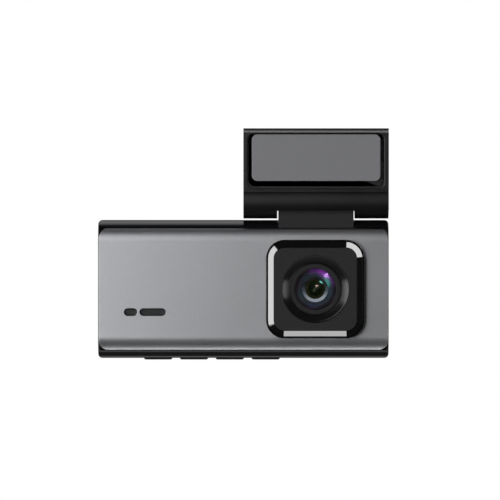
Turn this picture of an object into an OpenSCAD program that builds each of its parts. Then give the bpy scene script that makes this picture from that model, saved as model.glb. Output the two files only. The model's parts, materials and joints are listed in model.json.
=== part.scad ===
// Dash camera on a tilting windscreen bracket.
// Millimetres, +Z up, the lens looks along -Y.
// Origin: centre of the adhesive pad's outer face, which meets the windscreen.

/* [Camera body] */
// Width of the body
body_w = 100; // [94:1:130]
// Height of the body
body_h = 47.6; // [46:0.2:60]
// Depth of the body, front plate to rear glass
body_d = 20; // [19:0.5:26]
// Gap between the body's top and the bracket's cheeks
body_gap = 0.5; // [0.3:0.1:2]
// Radius of the long front edges
edge_r = 7.3; // [5:0.1:9]
// Radius of the long rear edges
rear_edge_r = 3; // [1.5:0.1:4]
// Radius of the body's four corners seen from the front
corner_r = 1.4; // [0.6:0.1:3]
// Thickness of the side, top and bottom walls
wall = 1.6; // [1.2:0.1:2]
// Thickness of the shell's wall behind the front plate
front_wall = 1.4; // [1.2:0.1:2]
// Thickness of the rear cover's wall around the display
rear_wall = 2; // [1.6:0.1:2.4]
// Depth of the rear cover
rear_cover_d = 4.8; // [4:0.1:4.9]

/* [Front plate] */
// Body left showing past each end of the metal front plate
plate_side = 0.25; // [0.2:0.05:1]
// Body left showing above and below the plate, seen from the front
plate_edge = 2.85; // [2.5:0.05:3.2]
// Thickness of the front plate
plate_t = 1.2; // [0.8:0.1:1.6]
// Corner radius of the front plate
plate_r = 3.3; // [1.5:0.1:6]
// Play around the front plate
plate_gap = 0.1; // [0.05:0.01:0.2]
// Height of the two sound slots
slot_h = 2.55; // [2:0.05:4]
// Length of the short slot, for the microphone
short_slot_w = 4.5; // [3:0.1:6]
// Length of the long slot, for the speaker
long_slot_w = 9; // [7:0.1:14]
// From the body's left edge to the middle of the short slot
short_slot_x = 11.2; // [9:0.1:16]
// Metal between the two slots
slot_space = 0.9; // [0.6:0.1:2]
// Drop of both slots below the middle of the body
slot_drop = 7.9; // [4:0.1:10]

/* [Lens] */
// From the body's right edge to the lens axis
lens_inset = 25.3; // [24:0.1:32]
// Side of the square lens bezel
bezel_w = 33.8; // [30:0.1:34.4]
// Corner radius of the bezel
bezel_r = 6.4; // [5:0.1:8]
// How far the bezel stands out of the front plate
bezel_out = 5.2; // [3.5:0.1:7]
// Flat rim outside the bezel's chamfer
bezel_rim = 0.7; // [0.3:0.05:1.2]
// Width and height of the chamfer
bezel_chamfer = 2; // [1:0.1:2.6]
// Thickness of the flat plate inside the chamfer
face_t = 1.5; // [1:0.1:2]
// Outer radius of the conical ring
ring_r = 11.5; // [11:0.1:12.5]
// Outer radius of the lens barrel
barrel_r = 8.75; // [8.2:0.05:9.5]
// Length of the lens barrel
barrel_l = 11.2; // [10:0.1:12]
// Radius of the front lens
front_lens_r = 7.05; // [6:0.05:7.5]
// Radius of the inner lenses
inner_lens_r = 5.4; // [4.5:0.1:6]
// Clear radius of the aperture stop
stop_r = 3.4; // [2.5:0.1:4]

/* [Bracket] */
// Width of the bracket
bracket_w = 50; // [44:0.5:60]
// Height of the bracket's top edge above the middle of the pad
bracket_top = 10.1; // [9.5:0.1:14]
// Width of the adhesive pad
pad_w = 44.2; // [30:0.1:45]
// Height of the adhesive pad
pad_h = 16; // [12:0.1:17]
// Thickness of the adhesive pad
pad_t = 2.2; // [1.6:0.1:3]
// Corner radius of the pad
pad_r = 1.9; // [0.5:0.1:4]
// How far the pad stands out of its surround
pad_proud = 0.8; // [0.4:0.1:1.4]
// Thickness of the front cover from its face to the base plate
cover_t = 2.7; // [2.5:0.1:3.4]
// Thickness of the base plate behind the cover
base_t = 2.45; // [2:0.05:3]

/* [Hinge] */
// Depth of the hinge axis behind the pad's face
hinge_y = 7.8; // [7.6:0.1:9]
// Drop of the hinge axis below the middle of the pad
hinge_drop = 14.9; // [14.5:0.1:16]
// Radius of the two cheeks
cheek_r = 6; // [5:0.1:6.2]
// Thickness of the shroud over the barrel
shroud_t = 0.75; // [0.6:0.05:1]
// Radius of the knuckle between the cheeks
knuckle_r = 5.6; // [4.5:0.1:5.8]
// Width of the neck and its knuckle
neck_w = 25.9; // [20:0.1:30]
// Depth of the neck, front to back
neck_d = 6.6; // [5.5:0.1:7]
// Distance of the neck's front face in front of the hinge axis
neck_front = 3.6; // [3:0.1:3.7]
// How deep the neck sits in the top of the body
neck_seat = 2.75; // [2:0.05:3.5]
// Radius of the hinge pin
pin_r = 1.5; // [1:0.1:2]
// Running clearance of the pin in the knuckle
pin_play = 0.05; // [0.02:0.01:0.1]
// Thickness of the friction washers
washer_t = 0.3; // [0.2:0.05:0.5]
// Play on each side of a friction washer
washer_play = 0.05; // [0.03:0.01:0.1]

/* [Buttons] */
// Length of a button
button_l = 9.7; // [8:0.1:10.5]
// Width of a button, front to back
button_w = 3.4; // [2.6:0.1:4]
// How far the buttons stand out of the bottom
button_out = 0.65; // [0.4:0.05:1]
// Spacing of the four buttons
button_pitch = 12.4; // [12:0.1:14]
// From the body's left edge to the first button
button_x = 20.5; // [16:0.1:24]
// Travel of a button
button_travel = 0.35; // [0.2:0.05:0.5]

/* [Ports] */
// Width of the memory card
card_w = 11; // [10.8:0.1:11.2]
// Length of the memory card
card_l = 15; // [14.8:0.1:15.2]
// Thickness of the memory card
card_t = 0.8; // [0.7:0.05:1]
// Width of the power socket's opening
usb_w = 8.34; // [8:0.01:8.6]
// Height of the power socket's opening
usb_h = 2.56; // [2.4:0.01:2.8]
// Bore radius of the rear camera socket
jack_r = 1.27; // [1.2:0.01:1.8]

/* [Electronics] */
// Thickness of the main board
board_t = 1.2; // [1:0.1:1.6]
// Width of the display panel
lcd_w = 78; // [60:1:80]
// Height of the display panel
lcd_h = 38; // [30:0.5:38.4]
// Thickness of the rear glass
glass_t = 0.9; // [0.7:0.1:1.2]
// Size of the square processor
cpu_w = 14; // [10:1:16]
// Length of the back-up battery
battery_l = 28; // [20:1:30]
// Height of the back-up battery
battery_h = 16; // [12:1:17]
// Thickness of the back-up battery
battery_t = 4.5; // [3:0.5:5]

/* [Hidden] */

$fn = 48;
lens_fn = 128;            // finer steps for the lens surfaces
play = 0.05;              // between pieces that are fixed to each other
slack = 0.1;              // between pieces that drop into each other
big = 400;                // larger than the whole part

// Body, in the part's frame
front_y = 2.6;                                  // the front plate's face
back_y = front_y + body_d;
body_x = bracket_w / 2 - body_w / 2;            // right edges of body and bracket line up
left_x = body_x - body_w / 2;
right_x = body_x + body_w / 2;
top_z = -hinge_drop - cheek_r - body_gap;
body_z = top_z - body_h / 2;
bottom_z = top_z - body_h;
split_y = back_y - rear_cover_d;

// Front plate
plate_w = body_w - 2 * plate_side;
plate_h = body_h - 2 * plate_edge;

// Space inside the body
skin_t = plate_t + plate_gap;                   // from the outer surface to the shell's wall
wall_y = front_y + skin_t;                      // the shell's face behind the plate
room_y = wall_y + front_wall;                   // front of the space inside
room_back_y = back_y - rear_wall;
room_w = body_w - 2 * wall;
room_h = body_h - 2 * wall;
room_r = edge_r - (skin_t + front_wall + wall) / 2;
room_left = left_x + wall;
room_right = right_x - wall;
room_top = top_z - wall;
room_bottom = bottom_z + wall;

// Lens stack, measured along Y
lens_x = right_x - lens_inset;
lens_z = body_z;
bezel_y = front_y - bezel_out;                  // the bezel's foremost face
face_w = bezel_w - 2 * (bezel_rim + bezel_chamfer);
face_r = bezel_r - bezel_rim - bezel_chamfer;
ring_y = bezel_y + 0.1;
ring_l = 3;
ring_in_r = barrel_r + slack;
barrel_y = bezel_y + 1.9;
barrel_end = barrel_y + barrel_l;
lens_edge_t = 1.5;
lens_front_r = 13;                              // radius of the front lens's outer surface
lens_back_r = 7;                                // radius of its hollow back
lens_apex_y = bezel_y + 0.3;
lens_edge_y = lens_apex_y + lens_front_r - sqrt(pow(lens_front_r, 2) - pow(front_lens_r, 2));
stop_y = lens_edge_y + lens_edge_t + play;
stop_t = 1.5;
inner_y = stop_y + stop_t + play;
second_t = 2;
spacer_t = 1;
rear_t = 2.4;
retainer_t = 1;
holder_w = 20;
holder_tube_r = barrel_r + 1.45;
holder_tube_l = 5;
holder_t = 2.75;
filter_w = 7;
filter_t = 0.35;
sensor_w = 8.8;
sensor_t = 1;
holder_screw = 8.2;                             // from the lens axis, each way
sensor_board_w = 30;
sensor_board_h = 25;
sensor_board_t = 1;
holder_y = barrel_end + slack;
sensor_board_y = holder_y + holder_t + play;
sensor_post_x = sensor_board_w / 2 - 2;
sensor_post_z = sensor_board_h / 2 - 2;
sensor_post_r = 1.8;

// Main board and display, measured from the rear
glass_y = back_y - glass_t;
lcd_t = 1.1;
lcd_y = glass_y - slack - lcd_t;
backlight_t = 1.6;
backlight_y = lcd_y - play - backlight_t;
backlight_lip = 1;                              // the backlight is this much larger each way
glass_w = body_w - 7;
glass_h = body_h - 2 * rear_edge_r - 0.6;
glass_r = 2.5;
board_back = split_y;                           // the bosses hold the board at the parting line
board_y = board_back - board_t;
board_edge = 0.4;
board_low_edge = 2.2;                           // room for the buttons below the board
boss_r = 2.4;
boss_foot_r = 3.4;
boss_join = 0.7;                                // how far a boss's foot runs into the side wall
boss_in_x = wall + boss_foot_r - boss_join;     // screw bosses from the body's side edges
boss_z = 14.5;                                  // and from its middle height
boss_front = room_y + 1.7;
case_screw_r = 1;
case_head_r = 1.9;
case_head_t = 1.05;
case_shank_l = 8;
boss_list = [for (x = [left_x + boss_in_x, right_x - boss_in_x], z = [-boss_z, boss_z])
    [x, body_z + z]];

// Bracket, measured along Y from the pad's face
bracket_y = pad_proud;
recess_d = pad_t - pad_proud;
cover_back = bracket_y + cover_t;
base_y = cover_back + play;
base_back = base_y + base_t;
bracket_edge_r = 1.2;
bracket_corner_r = 0.6;
ledge_up = 4;                                   // where the cover steps back to the shroud
lip_down = 3.4;                                 // where the shroud's lower lip ends
shroud_in = cheek_r + play;
shroud_r = shroud_in + shroud_t;
// Three steps of the pad's recess: margin at the sides, top and bottom, share of the depth
steps = [[1.5, 0.5, 2.75, 1 / 3], [1.05, 0.4, 2.05, 2 / 3], [0.6, 0.3, 1.35, 1]];
bracket_screw_x = bracket_w / 2 - 5;
bracket_screw_z = 5;
bracket_screw_r = 0.8;
bracket_head_r = 1.7;
bracket_head_t = 1.2;
bracket_screw_l = 2.2;

// Hinge, measured along X
hinge_z = -hinge_drop;
cheek_x = neck_w / 2 + washer_t + 2 * washer_play;
washer_r = 3.2;
cap_r = 3;
cap_t = 0.9;
cap_gap = 0.4;
pin_l = bracket_w - 2 * (cap_t + cap_gap);
pin_fit = 0.02;                                 // pin in the cheeks' bores
neck_y = hinge_y - neck_front;
neck_z = top_z - neck_seat;
neck_edge_r = 0.6;
seat_side = 3;                                  // the seat under the neck, past its sides
seat_t = 3;
neck_screw_x = 7;
neck_screw_y = neck_y + 3.8;
neck_screw_r = 1;
neck_head_r = 1.9;
neck_head_t = 1.2;
neck_screw_l = 8;

// Buttons and their switches
switch_w = 6;
switch_h = 4;
switch_d = 3.7;
plunger_r = 1;
plunger_l = 0.9;
button_gap = 0.15;
button_flange = 0.55;                           // flange inside the wall, past the button
button_flange_t = 0.8;
button_y = board_y - switch_d / 2 - 0.35;
switch_z = room_bottom + 2.4;                   // underside of the switch bodies
pusher_z = switch_z - plunger_l - button_travel - play;

// Ports
port_y = board_y - play;
card_wall = 0.6;
card_side = 1.35;
card_play = 0.1;
card_y = port_y - card_wall - 0.25 - card_t;
card_in = 0.3;                                  // the card's edge behind the body's side
card_throw = 12;
card_socket_l = card_l - 0.5;
usb_l = 7.4;
usb_wall = 0.3;
usb_z = body_z + 5.7;
usb_y = port_y - usb_h / 2 - usb_wall;
jack_w = 6;
jack_d = 5;
jack_l = 8.2;
jack_depth = 7.6;
jack_z = body_z - 5.8;
jack_y = port_y - jack_d / 2;
plug_room_r = 2.6;                              // opening in the wall for a plug's sleeve
port_x = room_right - slack * 2;

// Sound
slot_z = body_z - slot_drop;
short_x = left_x + short_slot_x;
long_x = short_x + short_slot_w / 2 + slot_space + long_slot_w / 2;
slot_list = [[short_x, short_slot_w], [long_x, long_slot_w]];
mesh_t = 0.25;
mesh_margin = 1.5;
speaker_w = 18;
speaker_h = 12;
speaker_t = 4;
speaker_x = short_x + short_slot_w / 2 + 1 + speaker_w / 2;
mic_r = 2;
mic_t = 1.6;
boot_wall = 0.7;

// Board pieces
cpu_x = lens_x - sensor_board_w / 2 - 10.5;
cpu_z = body_z - 2;
cpu_t = 1.4;
pad_heat_t = 0.45;
spreader_t = 1.4;
spreader_w = 18;
spreader_h = 18;
battery_x = lens_x - holder_tube_r - 15 - battery_l / 2;
battery_z = body_z + 1.2 + battery_h / 2;

// ---- Outlines ----

// Rounded rectangle about the origin
module rounded_square(w, h, r) {
    square([w, h - 2 * r], center = true);
    square([w - 2 * r, h], center = true);
    for (x = [-1, 1], y = [-1, 1])
        translate([x * (w / 2 - r), y * (h / 2 - r)]) circle(r);
}

// Slot with round ends, long way along X
module pill(w, h) {
    square([w - h, h], center = true);
    for (x = [-1, 1]) translate([x * (w - h) / 2, 0]) circle(h / 2);
}

// Side outline in Y and Z with its own radius at the front and at the rear
module side_outline(y0, y1, h, r0, r1) {
    mid = (y0 + y1) / 2;
    translate([y0 + r0, -h / 2]) square([y1 - r1 - y0 - r0, h]);
    translate([y0, -h / 2 + r0]) square([mid - y0, h - 2 * r0]);
    translate([mid, -h / 2 + r1]) square([y1 - mid, h - 2 * r1]);
    for (z = [-1, 1]) {
        translate([y0 + r0, z * (h / 2 - r0)]) circle(r0);
        translate([y1 - r1, z * (h / 2 - r1)]) circle(r1);
    }
}

// ---- Placing ----

// A front outline in X and Z becomes a solid from y0 to y1
module from_front(y0, y1) {
    translate([0, y1, 0]) rotate([90, 0, 0]) linear_extrude(y1 - y0) children();
}

// A side outline in Y and Z becomes a solid from x0 to x1
module from_side(x0, x1) {
    translate([x0, 0, 0]) rotate([90, 0, 90]) linear_extrude(x1 - x0) children();
}

// A round solid along Y, and one along X
module rod_y(y0, y1, r) {
    translate([0, y1, 0]) rotate([90, 0, 0]) cylinder(h = y1 - y0, r = r);
}
module rod_x(x0, x1, r) {
    translate([x0, 0, 0]) rotate([0, 90, 0]) cylinder(h = x1 - x0, r = r);
}

// A box given by its two ends on each axis
module block(x, y, z) {
    translate([x[0], y[0], z[0]]) cube([x[1] - x[0], y[1] - y[0], z[1] - z[0]]);
}

module at_body() { translate([body_x, 0, body_z]) children(); }
module at_lens() { translate([lens_x, 0, lens_z]) children(); }
module at_hinge() { translate([0, hinge_y, hinge_z]) children(); }
module at_bosses() { for (p = boss_list) translate([p[0], 0, p[1]]) children(); }
module at_holder_screws() {
    at_lens() for (x = [-1, 1]) translate([x * holder_screw, 0, x * holder_screw]) children();
}
module at_sensor_posts() {
    at_lens() for (x = [-1, 1], z = [-1, 1])
        translate([x * sensor_post_x, 0, z * sensor_post_z]) children();
}
module at_bracket_screws() {
    for (x = [-1, 1], z = [-1, 1])
        translate([x * bracket_screw_x, 0, z * bracket_screw_z]) children();
}
module at_neck_screws() {
    for (x = [-1, 1]) translate([x * neck_screw_x, neck_screw_y, 0]) children();
}

// ---- Bodies that several pieces share ----

// The whole body's outer form
module body_form() {
    at_body() intersection() {
        from_side(-body_w / 2, body_w / 2)
            side_outline(front_y, back_y, body_h, edge_r, rear_edge_r);
        from_front(front_y - 1, back_y + 1) rounded_square(body_w, body_h, corner_r);
    }
}

// What lies inside the outer surface by the given depth
module inner_form(depth) {
    at_body() from_side(-body_w, body_w)
        side_outline(front_y + depth, back_y + big, body_h - 2 * depth, edge_r - depth, 1);
}

// The space for the electronics
module room() {
    at_body() from_side(-room_w / 2, room_w / 2)
        side_outline(room_y, room_back_y, room_h, room_r, rear_edge_r / 2);
}

// Front outline of the metal plate, grown by a gap
module plate_outline(gap) {
    at_body() from_front(front_y - 1, front_y + edge_r)
        rounded_square(plate_w + 2 * gap, plate_h + 2 * gap, plate_r + gap);
}

// A square solid with round corners whose front edge is chamfered:
// four cones at the corner centres and two wedges between them
module chamfered_square(w, r, y0, chamfer) {
    c = w / 2 - r;
    for (x = [-1, 1], z = [-1, 1]) translate([x * c, y0 + chamfer, z * c])
        rotate([90, 0, 0]) cylinder(h = chamfer, r1 = r, r2 = r - chamfer);
    for (turn = [0, 90]) rotate([0, turn, 0]) translate([0, 0, -c])
        linear_extrude(2 * c) polygon([
            [-w / 2, y0 + chamfer], [-w / 2 + chamfer, y0],
            [w / 2 - chamfer, y0], [w / 2, y0 + chamfer]
        ]);
}

// A screw along Y: its head starts at y0 and its shank points to +Y (dir 1) or -Y (dir -1)
module screw_y(y0, dir, head_r, head_t, shank_r, shank_l) {
    translate([0, y0, 0]) rotate([-90 * dir, 0, 0]) difference() {
        union() {
            cylinder(h = head_t, r = head_r);
            cylinder(h = head_t + shank_l, r = shank_r);
        }
        translate([0, 0, -1]) cylinder(h = 1 + head_t / 2, r = head_r * 0.45, $fn = 6);
    }
}

// ---- Bracket ----

module bracket_cover() {
    color([0.16, 0.16, 0.17]) difference() {
        intersection() {
            from_side(-bracket_w / 2, bracket_w / 2) bracket_outline();
            from_front(-1, base_back) translate([0, (bracket_top - big / 2) / 2])
                rounded_square(bracket_w, bracket_top + big / 2, bracket_corner_r);
        }
        for (s = steps) recess_step(s);
        at_bracket_screws() rod_y(cover_back - bracket_screw_l + base_t - bracket_head_t - play,
            cover_back + 1, bracket_screw_r + play);
    }
}

// Side outline of the cover: a plate with a rounded top edge, and the shroud below it
module bracket_outline() {
    difference() {
        union() {
            translate([bracket_y, hinge_z + ledge_up])
                square([cover_t, bracket_top - bracket_edge_r - hinge_z - ledge_up]);
            translate([bracket_y + bracket_edge_r, hinge_z + ledge_up])
                square([cover_t - bracket_edge_r, bracket_top - hinge_z - ledge_up]);
            translate([bracket_y + bracket_edge_r, bracket_top - bracket_edge_r])
                circle(bracket_edge_r);
            translate([hinge_y, hinge_z]) intersection() {
                circle(shroud_r);
                translate([-shroud_r, -lip_down])
                    square([shroud_r - neck_front, lip_down + ledge_up + play]);
            }
        }
        translate([hinge_y, hinge_z]) circle(shroud_in);
    }
}

module recess_step(s) {
    w = pad_w + 2 * s[0];
    h = pad_h + s[1] + s[2];
    translate([0, 0, (s[1] - s[2]) / 2])
        from_front(-1, bracket_y + recess_d * s[3]) rounded_square(w, h, pad_r + s[1]);
}

module bracket_base() {
    color([0.13, 0.13, 0.14]) difference() {
        union() {
            difference() {
                from_side(-bracket_w / 2, bracket_w / 2) base_outline();
                at_hinge() rod_x(-cheek_x, cheek_x, shroud_in);
                block([-cheek_x, cheek_x], [-big, big], [-big, hinge_z]);
            }
            for (s = [-1, 1]) at_hinge() translate([s * (cheek_x + bracket_w / 2) / 2, 0, 0])
                rod_x(-(bracket_w / 2 - cheek_x) / 2, (bracket_w / 2 - cheek_x) / 2, cheek_r);
        }
        at_hinge() rod_x(-bracket_w, bracket_w, pin_r + pin_fit);
        at_hinge() for (s = [-1, 1]) translate([s * bracket_w / 2, 0, 0])
            rod_x(-cap_t - slack, cap_t + slack, cap_r + slack);
        at_bracket_screws() rod_y(base_y - 1, base_back + 1, bracket_screw_r + play);
        at_bracket_screws()
            rod_y(base_back - bracket_head_t, base_back + 1, bracket_head_r + play);
    }
}

// Side outline of the base plate, rounded at its rear top edge
module base_outline() {
    translate([base_y, hinge_z])
        square([base_t - bracket_edge_r, bracket_top - hinge_z]);
    translate([base_y, hinge_z])
        square([base_t, bracket_top - bracket_edge_r - hinge_z]);
    translate([base_back - bracket_edge_r, bracket_top - bracket_edge_r])
        circle(bracket_edge_r);
}

module adhesive_pad() {
    color([0.45, 0.45, 0.47]) from_front(0, pad_t) rounded_square(pad_w, pad_h, pad_r);
}

module bracket_screws() {
    color([0.3, 0.3, 0.32]) at_bracket_screws()
        screw_y(base_back, -1, bracket_head_r, bracket_head_t, bracket_screw_r, bracket_screw_l);
}

module hinge_pin() {
    color([0.7, 0.7, 0.72]) at_hinge() rod_x(-pin_l / 2, pin_l / 2, pin_r);
}

module hinge_caps() {
    color([0.1, 0.1, 0.11]) at_hinge() for (s = [-1, 1])
        translate([s * (bracket_w / 2 - cap_t / 2 - slack / 2), 0, 0])
            rod_x(-cap_t / 2, cap_t / 2, cap_r);
}

module friction_washers() {
    color([0.75, 0.73, 0.68]) at_hinge() for (s = [-1, 1])
        translate([s * (neck_w / 2 + washer_play + washer_t / 2), 0, 0]) difference() {
            rod_x(-washer_t / 2, washer_t / 2, washer_r);
            rod_x(-1, 1, pin_r + pin_fit);
        }
}

// ---- Body ----

// The neck's outline seen from above, grown by a gap
module neck_outline(gap) {
    translate([0, neck_y + neck_d / 2])
        rounded_square(neck_w + 2 * gap, neck_d + 2 * gap, neck_edge_r + gap);
}

module hinge_neck() {
    color([0.17, 0.17, 0.175]) difference() {
        union() {
            at_hinge() rod_x(-neck_w / 2, neck_w / 2, knuckle_r);
            translate([0, 0, neck_z]) linear_extrude(hinge_z - neck_z) neck_outline(0);
        }
        at_hinge() rod_x(-neck_w, neck_w, pin_r + pin_play);
        at_neck_screws() translate([0, 0, neck_z - 1])
            cylinder(h = 1 + neck_screw_l - seat_t + play, r = neck_screw_r + pin_fit);
    }
}

module neck_screws() {
    color([0.3, 0.3, 0.32]) at_neck_screws() translate([0, 0, neck_z - play - seat_t]) {
        translate([0, 0, -neck_head_t]) cylinder(h = neck_head_t, r = neck_head_r);
        cylinder(h = neck_screw_l - play, r = neck_screw_r);
    }
}

module front_plate() {
    color([0.47, 0.48, 0.49]) difference() {
        intersection() {
            body_form();
            plate_outline(0);
        }
        inner_form(plate_t);
        at_lens() from_front(front_y - 1, wall_y + 1)
            rounded_square(bezel_w + 2 * slack, bezel_w + 2 * slack, bezel_r + slack);
        for (s = slot_list) translate([s[0], 0, slot_z])
            from_front(front_y - 1, wall_y + 1) pill(s[1], slot_h);
    }
}

module body_shell() {
    color([0.06, 0.06, 0.065]) difference() {
        intersection() {
            difference() {
                body_form();
                difference() {
                    plate_outline(plate_gap);
                    inner_form(skin_t);
                }
            }
            block([-big, big], [-big, split_y], [-big, big]);
            union() {
                difference() {
                    block([-big, big], [-big, big], [-big, big]);
                    room();
                }
                neck_seat_block();
                at_bosses() rod_y(room_y - play, boss_front - play, boss_foot_r);
                at_sensor_posts() rod_y(room_y - play, sensor_board_y - play, sensor_post_r);
            }
        }
        translate([0, 0, neck_z - play]) linear_extrude(big) neck_outline(slack);
        at_neck_screws() translate([0, 0, neck_z - seat_t - 1])
            cylinder(h = seat_t + 2, r = neck_screw_r + slack);
        at_lens() rod_y(front_y, room_y + 1, holder_tube_r + slack);
        at_bosses() rod_y(wall_y - 1, wall_y + case_head_t + play, case_head_r + slack);
        at_bosses() rod_y(wall_y - 1, boss_front + 1, case_screw_r + slack);
        at_sensor_posts() rod_y(sensor_board_y - 5, sensor_board_y + 1, 0.8);
        for (s = slot_list) translate([s[0], 0, slot_z])
            from_front(front_y, room_y + 1) pill(s[1] - 0.6, slot_h - 0.6);
        mesh_form(slack, mesh_t + slack);
        for (i = [0:3]) translate([button_at(i), button_y, bottom_z - 1])
            linear_extrude(wall + 2) pill(button_l + 2 * button_gap, button_w + 2 * button_gap);
        translate([left_x, card_y + card_t / 2, body_z])
            cube([3 * wall, card_t + 0.6, card_w + 0.8], center = true);
        translate([right_x, usb_y, usb_z]) rotate([0, 90, 0]) linear_extrude(4 * wall, center = true)
            rotate(90) pill_tall(usb_w + 1.8, usb_h + 1.8);
        translate([right_x, jack_y, jack_z]) rod_x(-2 * wall, 1, plug_room_r);
    }
}

// The same slot turned so that its long way runs along the other axis
module pill_tall(w, h) { rotate(90) pill(w, h); }

// Block under the neck that closes its pocket and takes its screws
module neck_seat_block() {
    half = neck_w / 2 + seat_side;
    block([-half, half], [front_y, neck_y + neck_d + wall], [neck_z - play - seat_t, top_z]);
}

// Thin sheet behind both slots
module mesh_form(gap, depth) {
    low = short_x - short_slot_w / 2 - mesh_margin - gap;
    high = long_x + long_slot_w / 2 + mesh_margin + gap;
    block([low, high], [wall_y - 1, wall_y + play + depth],
        [slot_z - slot_h / 2 - mesh_margin - gap, slot_z + slot_h / 2 + mesh_margin + gap]);
}

module sound_mesh() {
    color([0.1, 0.1, 0.1]) intersection() {
        mesh_form(0, mesh_t);
        block([-big, big], [wall_y + play, big], [-big, big]);
    }
}

module rear_cover() {
    color([0.07, 0.07, 0.075]) difference() {
        union() {
            difference() {
                intersection() {
                    body_form();
                    block([-big, big], [split_y + play, big], [-big, big]);
                }
                room();
            }
            at_bosses() rod_y(board_back + play, room_back_y + play, boss_foot_r);
            at_bosses() rod_y(boss_front, room_back_y, boss_r);
        }
        at_body() from_front(glass_y - play, back_y + 1)
            rounded_square(glass_w + 2 * slack, glass_h + 2 * slack, glass_r + slack);
        at_body() from_front(room_back_y - 1, back_y)
            square([lcd_w + 4 * slack, lcd_h + 4 * slack], center = true);
        at_bosses() rod_y(boss_front - 1, boss_front + case_shank_l, case_screw_r + pin_fit);
    }
}

module case_screws() {
    color([0.3, 0.3, 0.32]) at_bosses()
        screw_y(wall_y, 1, case_head_r, case_head_t, case_screw_r, case_shank_l);
}

// ---- Lens ----

module lens_bezel() {
    color([0.02, 0.02, 0.02]) at_lens() difference() {
        union() {
            from_front(bezel_y + bezel_chamfer, wall_y - play)
                rounded_square(bezel_w, bezel_w, bezel_r);
            chamfered_square(bezel_w - 2 * bezel_rim, bezel_r - bezel_rim, bezel_y, bezel_chamfer);
        }
        from_front(bezel_y - 1, bezel_y + face_t + slack)
            rounded_square(face_w + slack, face_w + slack, face_r + slack / 2);
        rod_y(bezel_y, ring_y + ring_l + slack, ring_r + slack);
        rod_y(bezel_y, wall_y + 1, barrel_r + slack);
    }
}

module lens_face_plate() {
    color([0.16, 0.16, 0.165]) at_lens() difference() {
        from_front(bezel_y + slack, bezel_y + face_t) rounded_square(face_w, face_w, face_r);
        rod_y(bezel_y - 1, bezel_y + face_t + 1, ring_r + slack);
    }
}

// Conical ring that leads in to the lens
module lens_ring() {
    color([0.12, 0.12, 0.12]) at_lens() translate([0, ring_y, 0]) rotate([-90, 0, 0])
        rotate_extrude() polygon([
            [ring_r, 0], [ring_r - 0.3, 0], [ring_in_r, barrel_y - ring_y],
            [ring_in_r, ring_l], [ring_r, ring_l]
        ]);
}

module lens_barrel() {
    color([0.1, 0.1, 0.1]) at_lens() difference() {
        rod_y(barrel_y, barrel_end, barrel_r);
        rod_y(barrel_y - 1, inner_y - play, front_lens_r + play);
        rod_y(barrel_y - 1, barrel_end + 1, inner_lens_r + play);
    }
}

module front_lens() {
    color([0.25, 0.4, 0.45, 0.6]) at_lens() difference() {
        intersection() {
            rod_y(lens_apex_y - 1, lens_edge_y + lens_edge_t, front_lens_r);
            translate([0, lens_apex_y + lens_front_r, 0]) sphere(lens_front_r, $fn = lens_fn);
        }
        translate([0, lens_apex_y + 2.5 + lens_back_r, 0]) sphere(lens_back_r, $fn = lens_fn);
    }
}

// A disc with a conical opening that narrows towards the rear
module aperture_stop() {
    color([0.03, 0.03, 0.03]) at_lens() difference() {
        rod_y(stop_y, stop_y + stop_t, front_lens_r);
        translate([0, stop_y - play, 0]) rotate([-90, 0, 0])
            cylinder(h = stop_t + 2 * play, r1 = front_lens_r - 1.6, r2 = stop_r);
    }
}

module second_lens() {
    color([0.3, 0.35, 0.5, 0.6]) at_lens() intersection() {
        rod_y(inner_y, inner_y + second_t, inner_lens_r);
        translate([0, inner_y + lens_front_r, 0]) sphere(lens_front_r, $fn = lens_fn);
    }
}

module lens_spacer() {
    color([0.05, 0.05, 0.05]) at_lens() difference() {
        rod_y(inner_y + second_t + play, inner_y + second_t + play + spacer_t, inner_lens_r);
        rod_y(inner_y, barrel_end, inner_lens_r - 1);
    }
}

module rear_lens() {
    y0 = inner_y + second_t + spacer_t + 2 * play;
    color([0.35, 0.3, 0.45, 0.6]) at_lens() intersection() {
        rod_y(y0, y0 + rear_t, inner_lens_r);
        translate([0, y0 + rear_t - lens_front_r, 0]) sphere(lens_front_r, $fn = lens_fn);
    }
}

module retaining_ring() {
    y0 = inner_y + second_t + spacer_t + rear_t + 3 * play;
    color([0.05, 0.05, 0.05]) at_lens() difference() {
        rod_y(y0, y0 + retainer_t, inner_lens_r);
        rod_y(y0 - 1, y0 + 3, inner_lens_r - 1.6);
    }
}

module lens_holder() {
    color([0.08, 0.08, 0.08]) at_lens() difference() {
        union() {
            rod_y(holder_y - holder_tube_l, holder_y + play, holder_tube_r);
            from_front(holder_y, holder_y + holder_t) rounded_square(holder_w, holder_w, 1.5);
        }
        rod_y(holder_y - holder_tube_l - 1, holder_y, barrel_r + play);
        rod_y(holder_y - 1, holder_y + holder_t + 1, 4.2);
        from_front(sensor_board_y - sensor_t - slack * 2 - filter_t, sensor_board_y)
            square(filter_w + 2 * slack, center = true);
        from_front(sensor_board_y - sensor_t - slack, sensor_board_y)
            square(sensor_w + 2 * slack, center = true);
        for (x = [-1, 1]) translate([x * holder_screw, 0, x * holder_screw])
            rod_y(holder_y + 0.4, sensor_board_y, 0.75);
    }
}

module infrared_filter() {
    y1 = sensor_board_y - sensor_t - slack;
    color([0.5, 0.7, 0.7, 0.5]) at_lens() from_front(y1 - filter_t - slack / 2, y1 - slack / 2)
        square(filter_w, center = true);
}

module image_sensor() {
    color([0.1, 0.12, 0.15]) at_lens() from_front(sensor_board_y - sensor_t, sensor_board_y)
        square(sensor_w, center = true);
}

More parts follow.
